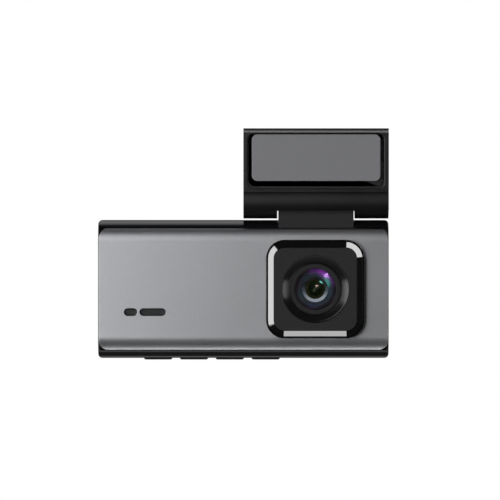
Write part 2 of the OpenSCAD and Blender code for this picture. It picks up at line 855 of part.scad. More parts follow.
module sensor_board() {
    color([0.05, 0.25, 0.12]) difference() {
        at_lens() from_front(sensor_board_y, sensor_board_y + sensor_board_t)
            rounded_square(sensor_board_w, sensor_board_h, 1);
        at_sensor_posts() rod_y(sensor_board_y - 1, sensor_board_y + 2, 0.85);
        at_holder_screws() rod_y(sensor_board_y - 1, sensor_board_y + 2, 0.85);
    }
}

module holder_screws() {
    color([0.6, 0.6, 0.62]) at_holder_screws()
        screw_y(sensor_board_y + sensor_board_t + 0.7, -1, 1.3, 0.7, 0.72, 3);
}

module sensor_screws() {
    color([0.6, 0.6, 0.62]) at_sensor_posts()
        screw_y(sensor_board_y + sensor_board_t + 0.7, -1, 1.3, 0.7, 0.75, 4);
}

// ---- Main board ----

module main_board() {
    w = room_w - 2 * board_edge;
    low = room_bottom + board_low_edge;
    high = room_top - 2 * board_edge;
    color([0.05, 0.3, 0.15]) difference() {
        translate([body_x, 0, (low + high) / 2]) from_front(board_y, board_back)
            rounded_square(w, high - low, 1.5);
        at_bosses() rod_y(board_y - 1, board_back + 1, boss_r + slack);
    }
}

// A flat piece on the board's front face, given by its middle, size and height
module on_board(x, z, w, h, t, lift = play) {
    block([x - w / 2, x + w / 2], [board_y - lift - t, board_y - lift], [z - h / 2, z + h / 2]);
}

module processor() { color([0.1, 0.1, 0.1]) on_board(cpu_x, cpu_z, cpu_w, cpu_w, cpu_t); }

module heat_pad() {
    color([0.55, 0.6, 0.7])
        on_board(cpu_x, cpu_z, cpu_w - 1, cpu_w - 1, pad_heat_t, 2 * play + cpu_t);
}

module heat_spreader() {
    color([0.7, 0.7, 0.72]) on_board(cpu_x, cpu_z, spreader_w, spreader_h, spreader_t,
        3 * play + cpu_t + pad_heat_t);
}

module memory_chip() { color([0.1, 0.1, 0.1]) on_board(cpu_x - 17, cpu_z - 8, 11, 9, 1); }

module wireless_module() {
    color([0.7, 0.7, 0.7]) on_board(cpu_x - 18, cpu_z + 10, 13, 11, 2);
}

module board_connector() {
    color([0.85, 0.8, 0.7]) translate([lens_x, sensor_board_y + sensor_board_t + play, body_z - 7])
        translate([-5, 0, -1.5])
            cube([10, board_y - sensor_board_y - sensor_board_t - 2 * play, 3]);
}

// Coils, capacitors and a clock crystal
module board_parts() {
    color([0.35, 0.3, 0.25]) {
        for (i = [0:2]) on_board(cpu_x - 9 + 6 * i, top_z - 7, 4, 4, 2);
        for (i = [0:5]) on_board(cpu_x - 6 + 2.4 * i, cpu_z - 12.2, 1, 1.8, 0.8);
        on_board(cpu_x - 27, cpu_z - 9, 3.2, 5, 1);
    }
}

module button_switches() {
    color([0.75, 0.75, 0.78]) for (i = [0:3]) {
        on_board(button_at(i), switch_z + switch_h / 2, switch_w, switch_h, switch_d);
        translate([button_at(i), button_y, switch_z - plunger_l])
            cylinder(h = plunger_l + play, r = plunger_r);
    }
}

// ---- Ports ----

module card_socket() {
    x0 = room_left + slack;
    side = card_w / 2 + card_side;
    color([0.7, 0.7, 0.72]) difference() {
        block([x0, x0 + card_socket_l], [card_y - card_wall - card_play, port_y],
            [body_z - side, body_z + side]);
        block([x0 - 1, left_x + card_in + card_l + card_play],
            [card_y - card_play, card_y + card_t + card_play],
            [body_z - card_w / 2 - 0.15, body_z + card_w / 2 + 0.15]);
    }
}

module memory_card() {
    x0 = left_x + card_in;
    color([0.08, 0.08, 0.09])
        block([x0, x0 + card_l], [card_y, card_y + card_t],
            [body_z - card_w / 2, body_z + card_w / 2]);
}

// Seen from the side: a metal sleeve with round ends around the contact tongue
module usb_socket() {
    color([0.75, 0.75, 0.77]) translate([port_x - usb_l, usb_y, usb_z])
        rotate([90, 0, 90]) {
            linear_extrude(usb_l) difference() {
                pill_tall(usb_w + 2 * usb_wall, usb_h + 2 * usb_wall);
                pill_tall(usb_w, usb_h);
            }
            linear_extrude(1) pill_tall(usb_w + usb_wall, usb_h + usb_wall);
            translate([-0.35, -3.3, 0]) cube([0.7, 6.6, usb_l - 1.2]);
        }
}

module rear_camera_jack() {
    color([0.1, 0.1, 0.1]) translate([port_x, jack_y, jack_z]) difference() {
        block([-jack_l, 0], [-jack_d / 2, jack_d / 2], [-jack_w / 2, jack_w / 2]);
        rod_x(-jack_depth, 1, jack_r);
    }
}

// ---- Display ----

module display_glass() {
    color([0.03, 0.03, 0.04]) at_body() from_front(glass_y, back_y)
        rounded_square(glass_w, glass_h, glass_r);
}

module lcd_panel() {
    color([0.1, 0.12, 0.2]) at_body() from_front(lcd_y, lcd_y + lcd_t)
        square([lcd_w, lcd_h], center = true);
}

module backlight() {
    color([0.85, 0.85, 0.85]) at_body() from_front(backlight_y, backlight_y + backlight_t)
        square([lcd_w + 2 * backlight_lip, lcd_h + 2 * backlight_lip], center = true);
}

// ---- Sound, power and aerial ----

module speaker() {
    color([0.15, 0.15, 0.15]) translate([speaker_x, 0, slot_z]) {
        from_front(room_y + play, room_y + 1.6) pill(speaker_w, speaker_h);
        from_front(room_y + 1.5, room_y + speaker_t) pill(speaker_w - 5, speaker_h - 3);
    }
}

module microphone_boot() {
    color([0.1, 0.1, 0.1]) translate([short_x, 0, slot_z]) difference() {
        rod_y(room_y + play, room_y + mic_t + 1, mic_r + boot_wall);
        rod_y(room_y + 0.4, room_y + mic_t + 2, mic_r + play);
        rod_y(room_y - 1, room_y + 1, 0.9);
    }
}

module microphone() {
    color([0.7, 0.68, 0.6]) translate([short_x, 0, slot_z])
        rod_y(room_y + 0.5, room_y + 0.5 + mic_t, mic_r);
}

module backup_battery() {
    color([0.6, 0.62, 0.66]) translate([battery_x, 0, battery_z])
        from_front(room_y + slack, room_y + slack + battery_t)
            rounded_square(battery_l, battery_h, 1.8);
}

module wifi_antenna() {
    color([0.6, 0.5, 0.2]) block([body_x - 25, body_x - 3], [board_y - 5.2, board_y - 0.4],
        [room_top - play - 0.25, room_top - play]);
}

// ---- Buttons ----

function button_at(i) = left_x + button_x + button_pitch * i;

module button(i) {
    color([0.05, 0.05, 0.055]) translate([button_at(i), button_y, 0]) {
        translate([0, 0, bottom_z - button_out])
            linear_extrude(button_out + wall + slack) pill(button_l, button_w);
        translate([0, 0, room_bottom + slack])
            linear_extrude(button_flange_t)
                pill(button_l + 2 * button_flange, button_w + 2 * button_flange);
        translate([0, 0, room_bottom + slack])
            cylinder(h = pusher_z - room_bottom - slack, r = plunger_r + 0.4);
    }
}

module power_button() { button(0); }
module menu_button() { button(1); }
module lock_button() { button(2); }
module ok_button() { button(3); }

bracket_cover();
bracket_base();
adhesive_pad();
bracket_screws();
hinge_pin();
hinge_caps();
friction_washers();
hinge_neck();
neck_screws();
front_plate();
body_shell();
rear_cover();
case_screws();
lens_bezel();
lens_face_plate();
lens_ring();
lens_barrel();
front_lens();
aperture_stop();
second_lens();
lens_spacer();
rear_lens();
retaining_ring();
lens_holder();
holder_screws();
infrared_filter();
image_sensor();
sensor_board();
sensor_screws();
board_connector();
main_board();
processor();
heat_pad();
heat_spreader();
memory_chip();
wireless_module();
board_parts();
button_switches();
card_socket();
usb_socket();
rear_camera_jack();
display_glass();
lcd_panel();
backlight();
speaker();
sound_mesh();
microphone();
microphone_boot();
backup_battery();
wifi_antenna();
power_button();
menu_button();
lock_button();
ok_button();
memory_card();
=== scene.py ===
# %% [markdown]
# # A dash camera, modelled piece by piece
# The camera hangs by a friction hinge from a short adhesive bracket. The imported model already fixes
# every size, so this script only gives each visible piece its finished surface and its finish.
# Everything is in metres; `MM` turns the drawing's millimetres into metres.

# %% Load the frame
import json
import bpy
import bmesh
import numpy as np
from mathutils import Matrix, Vector

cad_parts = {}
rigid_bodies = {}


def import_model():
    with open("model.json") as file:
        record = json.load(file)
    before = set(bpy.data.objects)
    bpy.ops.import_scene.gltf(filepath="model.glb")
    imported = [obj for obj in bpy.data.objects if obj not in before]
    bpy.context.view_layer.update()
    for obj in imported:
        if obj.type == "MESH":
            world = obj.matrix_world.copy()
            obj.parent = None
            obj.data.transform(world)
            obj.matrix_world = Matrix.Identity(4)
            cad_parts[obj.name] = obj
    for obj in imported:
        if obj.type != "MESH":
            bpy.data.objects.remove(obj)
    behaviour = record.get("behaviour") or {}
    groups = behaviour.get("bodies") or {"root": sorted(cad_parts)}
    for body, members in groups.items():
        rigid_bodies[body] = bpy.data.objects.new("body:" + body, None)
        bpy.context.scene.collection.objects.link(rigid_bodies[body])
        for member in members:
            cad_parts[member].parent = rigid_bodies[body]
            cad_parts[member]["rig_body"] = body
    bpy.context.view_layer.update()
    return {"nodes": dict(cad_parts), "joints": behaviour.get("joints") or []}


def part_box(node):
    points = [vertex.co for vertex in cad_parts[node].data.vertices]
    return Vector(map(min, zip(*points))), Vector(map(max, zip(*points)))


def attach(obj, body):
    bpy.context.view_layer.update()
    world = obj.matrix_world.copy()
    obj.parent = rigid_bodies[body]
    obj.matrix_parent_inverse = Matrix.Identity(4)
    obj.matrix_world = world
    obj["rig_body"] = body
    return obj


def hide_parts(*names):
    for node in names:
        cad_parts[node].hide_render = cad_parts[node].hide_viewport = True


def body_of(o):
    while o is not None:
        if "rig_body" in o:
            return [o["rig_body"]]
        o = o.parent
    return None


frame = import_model()
MM = 0.001

# %% [markdown]
# ## Places to measure from
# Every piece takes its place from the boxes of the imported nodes. A box gives the outer size; the
# radii and edge roundings that a box can't tell are named here once.

# %% Boxes and radii
def span(*names):
    """Lowest and highest corner, as arrays, of the box around the named nodes."""
    corners = [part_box(n) for n in names]
    low = np.min([np.array(c[0]) for c in corners], axis=0)
    high = np.max([np.array(c[1]) for c in corners], axis=0)
    return low, high


body_low, body_high = span("body_shell", "rear_cover")
shell_high = span("body_shell")[1]
plate_low, plate_high = span("front_plate")
bezel_low, bezel_high = span("lens_bezel")
barrel_low, barrel_high = span("lens_barrel")
pad_low, pad_high = span("adhesive_pad")
cover_low, cover_high = span("bracket_cover")
base_low = span("bracket_base")[0]
neck_low, neck_high = span("hinge_neck")

body_mid = (body_low + body_high) / 2
body_size = body_high - body_low
body_front = plate_low[1]
lens_mid = (bezel_low + bezel_high) / 2
hinge = next(np.array(j["pos_m"]) for j in frame["joints"] if j["name"] == "bracket_tilt")

EDGE_R = 7.3 * MM         # long front edges of the body
REAR_EDGE_R = 3.0 * MM    # long rear edges
CORNER_R = 1.4 * MM       # body corners seen from the front
WALL = 1.6 * MM
PLATE_T = 1.2 * MM
PLATE_R = 3.3 * MM        # plate corners seen from the front
PLATE_GAP = 0.1 * MM
print("body", np.round(body_size / MM, 2), "mm, lens axis", np.round(lens_mid / MM, 2))

# %% [markdown]
# ## Camera
# The object is seen square on from a fair distance, so a long lens flattens it: at 400 mm the sides of
# the bezel don't show. The distance follows from the width the picture has to take in.

# %% Camera
PICTURE_W = 172 * MM      # width of the picture at the body's front
LENS = 400.0
SENSOR = 36.0
aim = body_mid + np.array([2.28, 0.0, 13.45]) * MM
camera_data = bpy.data.cameras.new("camera")
camera_data.lens = LENS
camera_data.sensor_width = SENSOR
camera_data.clip_start = 0.01
camera_data.clip_end = 20.0
camera = bpy.data.objects.new("camera", camera_data)
camera.location = (aim[0], body_front - PICTURE_W * LENS / SENSOR, aim[2])
camera.rotation_euler = (np.pi / 2, 0, 0)
bpy.context.scene.collection.objects.link(camera)
bpy.context.scene.camera = camera
bpy.context.scene.view_settings.view_transform = "Standard"   # white surroundings stay white
print("camera stands", round(PICTURE_W * LENS / SENSOR, 3), "m away")

# %% [markdown]
# ## Studio
# Black gloss shows its surroundings more than its own colour, so the studio is built for reflections.
# For them the surroundings are dark in front and at the sides, pale in a belt behind, and dark again
# straight behind; seen directly they are plain white. Soft boxes then give each piece its bright
# stretches. All of it is made of a few shader nodes, so the two helpers that add and wire them come first.

# %% Shader nodes
def add_node(tree, kind, values=None, **settings):
    """New shader node with its settings and the constants of its sockets."""
    node = tree.nodes.new("ShaderNode" + kind)
    for name, value in settings.items():
        setattr(node, name, value)
    set_sockets(node, values or {})
    return node


def set_sockets(node, values):
    """Writes each constant on its own socket."""
    for socket, value in values.items():
        node.inputs[socket].default_value = value


def add_ramp(tree, stops):
    """Colour ramp through stops of (place, colour)."""
    ramp = add_node(tree, "ValToRGB")
    while len(ramp.color_ramp.elements) < len(stops):
        ramp.color_ramp.elements.new(0.5)
    for element, (place, color) in zip(ramp.color_ramp.elements, stops):
        element.position = place
        element.color = (*color, 1)
    return ramp


def wire(tree, *wires):
    """Each wire is (a node, its output, the next node, its input)."""
    for start, output, end, socket in wires:
        tree.links.new(start.outputs[output], end.inputs[socket])


# %% World
def studio_world(dark=0.03, pale=1.15):
    """White to the eye; for reflections dark in front, a pale belt round the back, by Y + 0.3 Z, and
    dark again straight behind, by Y."""
    world = bpy.data.worlds.new("studio")
    bpy.context.scene.world = world
    world.use_nodes = True
    tree = world.node_tree
    tree.nodes.clear()
    out = add_node(tree, "OutputWorld")
    eye = add_node(tree, "Background", {"Color": (1, 1, 1, 1), "Strength": 1.0})
    around = add_node(tree, "Background")
    where = add_node(tree, "TexCoord")
    share = add_node(tree, "VectorMath", {1: (0.0, 1.0, 0.3)}, operation="DOT_PRODUCT")
    ramp = add_ramp(tree, [(0.38, (dark, dark, dark)), (0.62, (1, 1, 1))])
    apart = add_node(tree, "SeparateXYZ")
    behind = add_node(tree, "MapRange", {"From Min": 0.66, "From Max": 0.88, "To Min": pale, "To Max": dark})
    rays = add_node(tree, "LightPath")
    mix = add_node(tree, "MixShader")
    wire(tree, (where, "Generated", share, 0), (share, "Value", ramp, "Fac"),
         (ramp, "Color", around, "Color"), (where, "Generated", apart, 0), (apart, "Y", behind, "Value"),
         (behind, "Result", around, "Strength"), (rays, "Is Camera Ray", mix, "Fac"),
         (around, 0, mix, 1), (eye, 0, mix, 2), (mix, 0, out, "Surface"))


studio_world()

# %% [markdown]
# An area light is easiest to place from the middle of the lens, where most of them look. Its watts
# follow from how bright its face should be, so that a box keeps its look when it is made larger.

# %% Soft boxes
def soft_box(name, place, size, brightness, look=(0, 0, 0), up=(0, 0, 1)):
    """Rectangular area light at a place, facing another; both are measured from the middle of the lens.
    Size is (across, along up) in metres and brightness is the radiance of its face: a face of area A
    gives pi A brightness watts."""
    data = bpy.data.lights.new(name, "AREA")
    data.shape = "RECTANGLE"
    data.size, data.size_y = size
    data.energy = np.pi * size[0] * size[1] * brightness
    light = bpy.data.objects.new(name, data)
    back = (Vector(place) - Vector(look)).normalized()
    across = Vector(up).cross(back).normalized()
    turn = np.array([across, back.cross(across), back]).T
    light.matrix_world = Matrix.Translation(Vector(lens_mid + place)) @ Matrix(turn.tolist()).to_4x4()
    light.visible_camera = False
    bpy.context.scene.collection.objects.link(light)
    print("light", name, round(data.energy, 2), "W")
    return light


LONG = (0, 1, 0)   # the up of a strip that lies level, long from left to right
# At the sides and below, edge on to the bezel: what its chamfer mirrors
SIDE_Z = 0.24      # how far above the lens the left box has its middle
left_box = soft_box("left_box", (-0.60, 0.02, SIDE_Z), (0.22, 0.92), 13.0, (0, 0.02, SIDE_Z))
# A weaker piece at each end fades the bright band out
left_ends = [soft_box("left_end", (-0.60, 0.02, SIDE_Z + step), (0.22, 0.06), 5.0, (0, 0.02, SIDE_Z + step))
             for step in (-0.49, 0.49)]
right_box = soft_box("high_right_box", (0.46, 0.02, 0.48), (0.24, 1.10), 13.0)
strip_below = soft_box("strip_below", (0.001, 0.01, -0.30), (0.054, 0.07), 9.0, (0.001, 0.01, 0), LONG)
# In front and to the left: the satin plate's tone. The plate darkens away from it, to the right, and
# the bezel throws a soft shadow that way
PANEL_W, PANEL_LOW, PANEL_HIGH = 1.45, -0.20, 0.78
panel_x, panel_z = -0.20 - PANEL_W / 2, (PANEL_LOW + PANEL_HIGH) / 2
panel = soft_box("front_panel", (panel_x, -1.10, panel_z), (PANEL_W, PANEL_HIGH - PANEL_LOW), 3.4,
                 (panel_x, 0, panel_z))
# Long and almost straight below: the shell's lower edge, and the bright line along the plate's
low_strip = soft_box("low_strip", (-0.02, -0.040, -0.30), (1.2, 0.10), 0.8, (-0.02, 0, 0), LONG)
edge_strip = soft_box("edge_strip", (-0.02, -0.055, -0.26), (1.2, 0.05), 3.6, (-0.02, 0, 0), LONG)
# High above and a little behind: the bracket's upper chamfer
top_strip = soft_box("top_strip", (0, 0.15, 0.58), (1.2, 0.32), 3.2, (0, 0, 0.05), LONG)
# Beside the lens: the two bright sides of the cone
soft_box("left_wing", (-0.62, -0.18, 0.05), (0.16, 0.48), 4.4)
soft_box("right_wing", (0.62, -0.18, 0), (0.16, 0.34), 2.6)
# Small and strong, to the upper right: the highlight in the glass
toward = Vector((0.53, -0.588, 0.61)).normalized()
spark = soft_box("spark", toward * 0.8, (0.19, 0.19), 70.0)
# Near the lens axis: the two warm glints, one in the front of the glass and one in its hollow back
toward = Vector((0.092, -0.983, 0.159)).normalized()
glint = soft_box("glint", toward * 1.4, (0.13, 0.13), 90.0)
glint.data.color = (1.0, 0.8, 0.40)
toward = Vector((-0.038, -0.997, -0.067)).normalized()
low_glint = soft_box("low_glint", toward * 1.4, (0.06, 0.06), 90.0)
low_glint.data.color = (1.0, 0.9, 0.35)
# Behind and above: keeps the back from being black on black
rear_box = soft_box("rear_box", (-0.75, 1.10, 0.60), (0.9, 0.9), 3.0)
fill = soft_box("front_fill", (-0.75, -1.20, 0.55), (0.8, 0.8), 2.5, (-0.03, -lens_mid[1], 0))
fill.visible_glossy = False   # lights the matt pieces and leaves no square in the lens

# %% [markdown]
# ## Floor
# A plain pale floor lies well below the hanging camera. It is left out of sharp reflections, where the
# strips do their work, and it lets the eye through from underneath.

# %% Floor
FLOOR_Z = body_low[2] - 0.30


def pale_floor(size=6.0):
    """One level square, with a soft white finish that shows only its upper side."""
    half = size / 2
    corners = [(-half, -half), (half, -half), (half, half), (-half, half)]
    mesh = bpy.data.meshes.new("floor")
    mesh.from_pydata([(x, y, FLOOR_Z) for x, y in corners], [], [(0, 1, 2, 3)])
    floor = bpy.data.objects.new("floor", mesh)
    bpy.context.scene.collection.objects.link(floor)
    finish = bpy.data.materials.new("pale_floor")
    finish.use_nodes = True
    tree = finish.node_tree
    paint = tree.nodes["Principled BSDF"]
    set_sockets(paint, {"Base Color": (0.9, 0.9, 0.9, 1), "Roughness": 0.9, "Specular IOR Level": 0.0,
                        "Emission Color": (1, 1, 1, 1), "Emission Strength": 0.75})
    side = add_node(tree, "NewGeometry")
    clear = add_node(tree, "BsdfTransparent")
    mix = add_node(tree, "MixShader")
    wire(tree, (side, "Backfacing", mix, "Fac"), (paint, 0, mix, 1), (clear, 0, mix, 2),
         (mix, 0, tree.nodes["Material Output"], "Surface"))
    mesh.materials.append(finish)
    floor.visible_glossy = False


pale_floor()
print("floor", round((body_low[2] - FLOOR_Z) / MM), "mm below the body")

# %% [markdown]
# ## Finishes
# Each finish is a Principled shader with its constants set on its own sockets. Two patterns vary it:
# a slow mottling of the roughness, as on any surface that has been handled, and a fine grain in the
# bump, as left by a blasted mould or a bead-blasted sheet. Both read Object coordinates.

# %% Shader helpers
def new_finish(name, color, roughness, metallic=0.0, specular=0.5, coat=0.0):
    """Principled material with plain constants. Returns the material, its node tree and its shader."""
    finish = bpy.data.materials.new(name)
    finish.use_nodes = True
    finish.diffuse_color = (*color, 1)
    shader = finish.node_tree.nodes["Principled BSDF"]
    set_sockets(shader, {"Base Color": (*color, 1), "Roughness": roughness, "Metallic": metallic,
                         "Specular IOR Level": specular, "Coat Weight": coat, "Coat Roughness": 0.05})
    return finish, finish.node_tree, shader


def add_noise(tree, scale, detail=4.0):
    """Noise pattern on Object coordinates; scale is in turns per metre."""
    where = add_node(tree, "TexCoord")
    noise = add_node(tree, "TexNoise", {"Scale": scale, "Detail": detail})
    wire(tree, (where, "Object", noise, "Vector"))
    return noise


def mottle(tree, shader, low, high, scale=90.0):
    """Roughness wanders between low and high over patches a centimetre or so across."""
    noise = add_noise(tree, scale, detail=3.0)
    spread = add_node(tree, "MapRange", {"From Min": 0.3, "From Max": 0.7, "To Min": low, "To Max": high})
    wire(tree, (noise, "Fac", spread, "Value"), (spread, "Result", shader, "Roughness"))


def tint(tree, shader, color, spread):
    """Base colour wanders between a shade a little darker and one a little lighter."""
    noise = add_noise(tree, 900.0)
    dark = [c * (1 - spread) for c in color]
    light = [c * (1 + spread) for c in color]
    ramp = add_ramp(tree, [(0.35, dark), (0.65, light)])
    wire(tree, (noise, "Fac", ramp, "Fac"), (ramp, "Color", shader, "Base Color"))


def add_bump(tree, shader, height, output, depth, strength=1.0):
    """Bump from a node's output; depth is the height of the relief in metres."""
    bump = add_node(tree, "Bump", {"Strength": strength, "Distance": depth})
    wire(tree, (height, output, bump, "Height"), (bump, "Normal", shader, "Normal"))


# %% Moulded and painted finishes
def moulded(name, color, low, high, grain=0.25 * MM, depth=0.01 * MM, strength=0.25, spread=0.06, **more):
    """Plastic, paint or rubber: mottled roughness, a slight tint and a fine grain."""
    finish, tree, shader = new_finish(name, color, (low + high) / 2, **more)
    mottle(tree, shader, low, high)
    tint(tree, shader, color, spread)
    add_bump(tree, shader, add_noise(tree, 1 / grain, detail=2.0), "Fac", depth, strength)
    return finish


plate_finish = moulded("satin_gunmetal", (0.47, 0.475, 0.495), 0.355, 0.375, 0.12 * MM, 0.003 * MM, 0.2,
                       spread=0.015, metallic=1.0)
shell_finish = moulded("polished_black", (0.004, 0.004, 0.0045), 0.08, 0.13, 2.0 * MM, 0.004 * MM, 0.15)
bezel_finish = moulded("piano_black", (0.002, 0.002, 0.002), 0.03, 0.05, 3.0 * MM, 0.002 * MM, 0.1)
face_finish = moulded("matt_black", (0.0150, 0.0150, 0.0155), 0.62, 0.70, 0.10 * MM, 0.004 * MM, 0.3,
                      specular=0.10)
cover_finish = moulded("satin_black", (0.0020, 0.0020, 0.0022), 0.33, 0.38, 0.15 * MM, 0.004 * MM, 0.25)
neck_finish = moulded("charcoal", (0.0145, 0.0145, 0.0152), 0.58, 0.66, 0.12 * MM, 0.006 * MM, 0.35,
                      specular=0.15)
pad_finish = moulded("release_film", (0.118, 0.119, 0.125), 0.45, 0.52, 1.2 * MM, 0.002 * MM, 0.10,
                     spread=0.015, specular=0.15)
key_finish = moulded("key_black", (0.008, 0.008, 0.0085), 0.20, 0.26, 0.5 * MM, 0.003 * MM, 0.2)
inner_finish = moulded("inner_moulding", (0.02, 0.02, 0.02), 0.5, 0.6)
chip_finish = moulded("chip_epoxy", (0.018, 0.018, 0.02), 0.55, 0.65, 0.08 * MM, 0.005 * MM, 0.4)
rubber_finish = moulded("black_rubber", (0.02, 0.02, 0.02), 0.7, 0.8)
heat_finish = moulded("heat_rubber", (0.33, 0.38, 0.48), 0.7, 0.8)
cream_finish = moulded("cream_plastic", (0.6, 0.55, 0.45), 0.4, 0.5)
white_finish = moulded("light_guide", (0.8, 0.8, 0.8), 0.25, 0.35)
card_finish = moulded("card_plastic", (0.015, 0.015, 0.018), 0.35, 0.45)
film_finish = moulded("antenna_film", (0.35, 0.2, 0.05), 0.3, 0.4, metallic=0.6)
print("moulded finishes made")

# %% [markdown]
# Metals are the same helpers with the metallic socket at one. Turned pieces, such as the ring round the
# lens, carry fine circular tool marks: a ring pattern on Object coordinates moved to the lens axis.

# %% Metals
def metal(name, color, low, high):
    """Sheet or rolled metal with drawn streaks too fine to count."""
    finish, tree, shader = new_finish(name, color, low, metallic=1.0)
    mottle(tree, shader, low, high, scale=300.0)
    add_bump(tree, shader, add_noise(tree, 1 / (0.1 * MM), detail=2.0), "Fac", 0.003 * MM, 0.3)
    return finish


def centred(tree, centre, radius=1.0, depth=1.0):
    """Object coordinates about a centre, in shares of a radius; depth 0 leaves out the way along Y."""
    where = add_node(tree, "TexCoord")
    place = add_node(tree, "Mapping", {"Location": tuple(-np.array(centre) / radius),
                                       "Scale": (1 / radius, depth / radius, 1 / radius)})
    wire(tree, (where, "Object", place, "Vector"))
    return place


def waves_per_metre(pitch):
    """Scale of a wave pattern: it has 20 / 2 pi waves to a unit."""
    return np.pi / 10 / pitch


def turned(name, color, low, high, pitch=0.22 * MM, **more):
    """Circular tool marks about the lens axis."""
    finish, tree, shader = new_finish(name, color, low, **more)
    mottle(tree, shader, low, high)
    marks = add_node(tree, "TexWave", {"Scale": waves_per_metre(pitch)}, wave_type="RINGS",
                     rings_direction="Y")
    wire(tree, (centred(tree, lens_mid), "Vector", marks, "Vector"))
    add_bump(tree, shader, marks, "Fac", 0.006 * MM, 0.35)
    return finish


steel_finish = metal("bright_steel", (0.62, 0.62, 0.64), 0.25, 0.35)
screw_finish = metal("blackened_steel", (0.10, 0.10, 0.11), 0.32, 0.42)
tin_finish = metal("tinned_steel", (0.66, 0.66, 0.68), 0.3, 0.4)
sheet_finish = metal("aluminium_sheet", (0.7, 0.7, 0.72), 0.35, 0.45)
foil_finish = metal("pouch_foil", (0.6, 0.62, 0.66), 0.3, 0.5)
ring_finish = turned("turned_ring", (0.004, 0.004, 0.004), 0.18, 0.22)
barrel_finish = turned("turned_barrel", (0.012, 0.012, 0.0125), 0.55, 0.62, 0.35 * MM, specular=0.15)


# %% Circuit board and woven mesh
def board_finish():
    """Green solder mask with darker copper pours showing through in cells."""
    finish, tree, shader = new_finish("solder_mask", (0.01, 0.08, 0.03), 0.35, coat=0.4)
    where = add_node(tree, "TexCoord")
    cells = add_node(tree, "TexVoronoi", {"Scale": 1 / (4 * MM)}, distance="MANHATTAN",
                     feature="DISTANCE_TO_EDGE")
    ramp = add_ramp(tree, [(0.0, (0.012, 0.10, 0.04)), (0.06, (0.006, 0.055, 0.022))])
    ramp.color_ramp.interpolation = "CONSTANT"
    wire(tree, (where, "Object", cells, "Vector"), (cells, "Distance", ramp, "Fac"),
         (ramp, "Color", shader, "Base Color"))
    return finish


def woven(name, color, pitch):
    """Woven wire: two crossed wave bumps over dark metal."""
    finish, tree, shader = new_finish(name, color, 0.45, metallic=1.0)
    where = add_node(tree, "TexCoord")
    height = add_node(tree, "Math", operation="MAXIMUM")
    for k, way in enumerate(("X", "Z")):
        wave = add_node(tree, "TexWave", {"Scale": waves_per_metre(pitch)}, bands_direction=way)
        wire(tree, (where, "Object", wave, "Vector"), (wave, "Fac", height, k))
    shade = add_ramp(tree, [(0.55, (0.001, 0.001, 0.001)), (0.9, color)])
    wire(tree, (height, "Value", shade, "Fac"), (shade, "Color", shader, "Base Color"))
    add_bump(tree, shader, height, "Value", 0.05 * MM)
    return finish


solder_finish = board_finish()
mesh_finish = woven("woven_mesh", (0.10, 0.10, 0.105), 0.35 * MM)
print("metals, board and mesh made")

# %% [markdown]
# ## Coated glass
# A camera lens shows the colours of its coatings and what lies behind them. The front lens is therefore clear
# with a violet sheen, and the stop behind it carries blue and green rings and soft coloured patches of painted
# highlight, as shares of its own radius; its lip has a painted highlight along its lower half. Clear glass is
# a mix of a transparent and a glossy shader, ruled by Fresnel.

# %% Glass
def coated_glass(name, sheen, ior, body_tint):
    """See-through surface whose reflections take the coating's colour."""
    finish = bpy.data.materials.new(name)
    finish.use_nodes = True
    tree = finish.node_tree
    tree.nodes.clear()
    out = add_node(tree, "OutputMaterial")
    clear = add_node(tree, "BsdfTransparent", {"Color": (*body_tint, 1)})
    gloss = add_node(tree, "BsdfAnisotropic", {"Color": (*sheen, 1), "Roughness": 0.12})
    fresnel = add_node(tree, "Fresnel", {"IOR": ior})
    mix = add_node(tree, "MixShader")
    wire(tree, (fresnel, 0, mix, "Fac"), (clear, 0, mix, 1), (gloss, 0, mix, 2), (mix, 0, out, "Surface"))
    return finish


MIX_FACTOR, MIX_BELOW, MIX_ADDED, MIX_COLOR = 0, 6, 7, 2   # the Mix node's sockets for colours


def ringed_glass(name, radius, stops, painted_glows):
    """Dark glass coloured by distance from the lens axis; stops are (share of the radius, colour) and
    painted_glows are painted highlights, soft coloured patches added to the base colour: (angle in degrees,
    share of the radius, reach, colour)."""
    finish, tree, shader = new_finish(name, stops[0][1], 0.25, specular=0.15)
    place = centred(tree, lens_mid, radius, 0)
    length = add_node(tree, "VectorMath", operation="LENGTH")
    ramp = add_ramp(tree, stops)
    wire(tree, (place, "Vector", length, 0), (length, "Value", ramp, "Fac"))
    below = (ramp, "Color")
    for angle, share, reach, glow in painted_glows:
        turn = np.radians(angle)
        spot = add_node(tree, "VectorMath", {1: (share * np.cos(turn), 0, share * np.sin(turn))},
                        operation="DISTANCE")
        fade = add_node(tree, "MapRange", {"From Min": reach, "From Max": 0.0},
                        interpolation_type="SMOOTHSTEP")
        mix = add_node(tree, "Mix", data_type="RGBA", blend_type="ADD")
        mix.inputs[MIX_ADDED].default_value = (*glow, 1)
        wire(tree, (place, "Vector", spot, 0), (spot, "Value", fade, "Value"),
             (fade, "Result", mix, MIX_FACTOR), (*below, mix, MIX_BELOW))
        below = (mix, MIX_COLOR)
    wire(tree, (*below, shader, "Base Color"))
    return finish


def painted_light_lip(name, painted_shades, reach=4.0 * MM):
    """Satin lip of the stop, with painted highlight and shade: its base colour is painted light along its
    lower half and dark higher up, standing in for the light a lip would catch from above.
    """
    finish, tree, shader = new_finish(name, (0.05, 0.05, 0.05), 0.4, specular=0.1)
    where = add_node(tree, "TexCoord")
    place = add_node(tree, "SeparateXYZ")
    height = add_node(tree, "MapRange", {"From Min": lens_mid[2] - reach, "From Max": lens_mid[2] + reach})
    ramp = add_ramp(tree, painted_shades)
    wire(tree, (where, "Object", place, 0), (place, "Z", height, "Value"), (height, "Result", ramp, "Fac"),
         (ramp, "Color", shader, "Base Color"))
    return finish


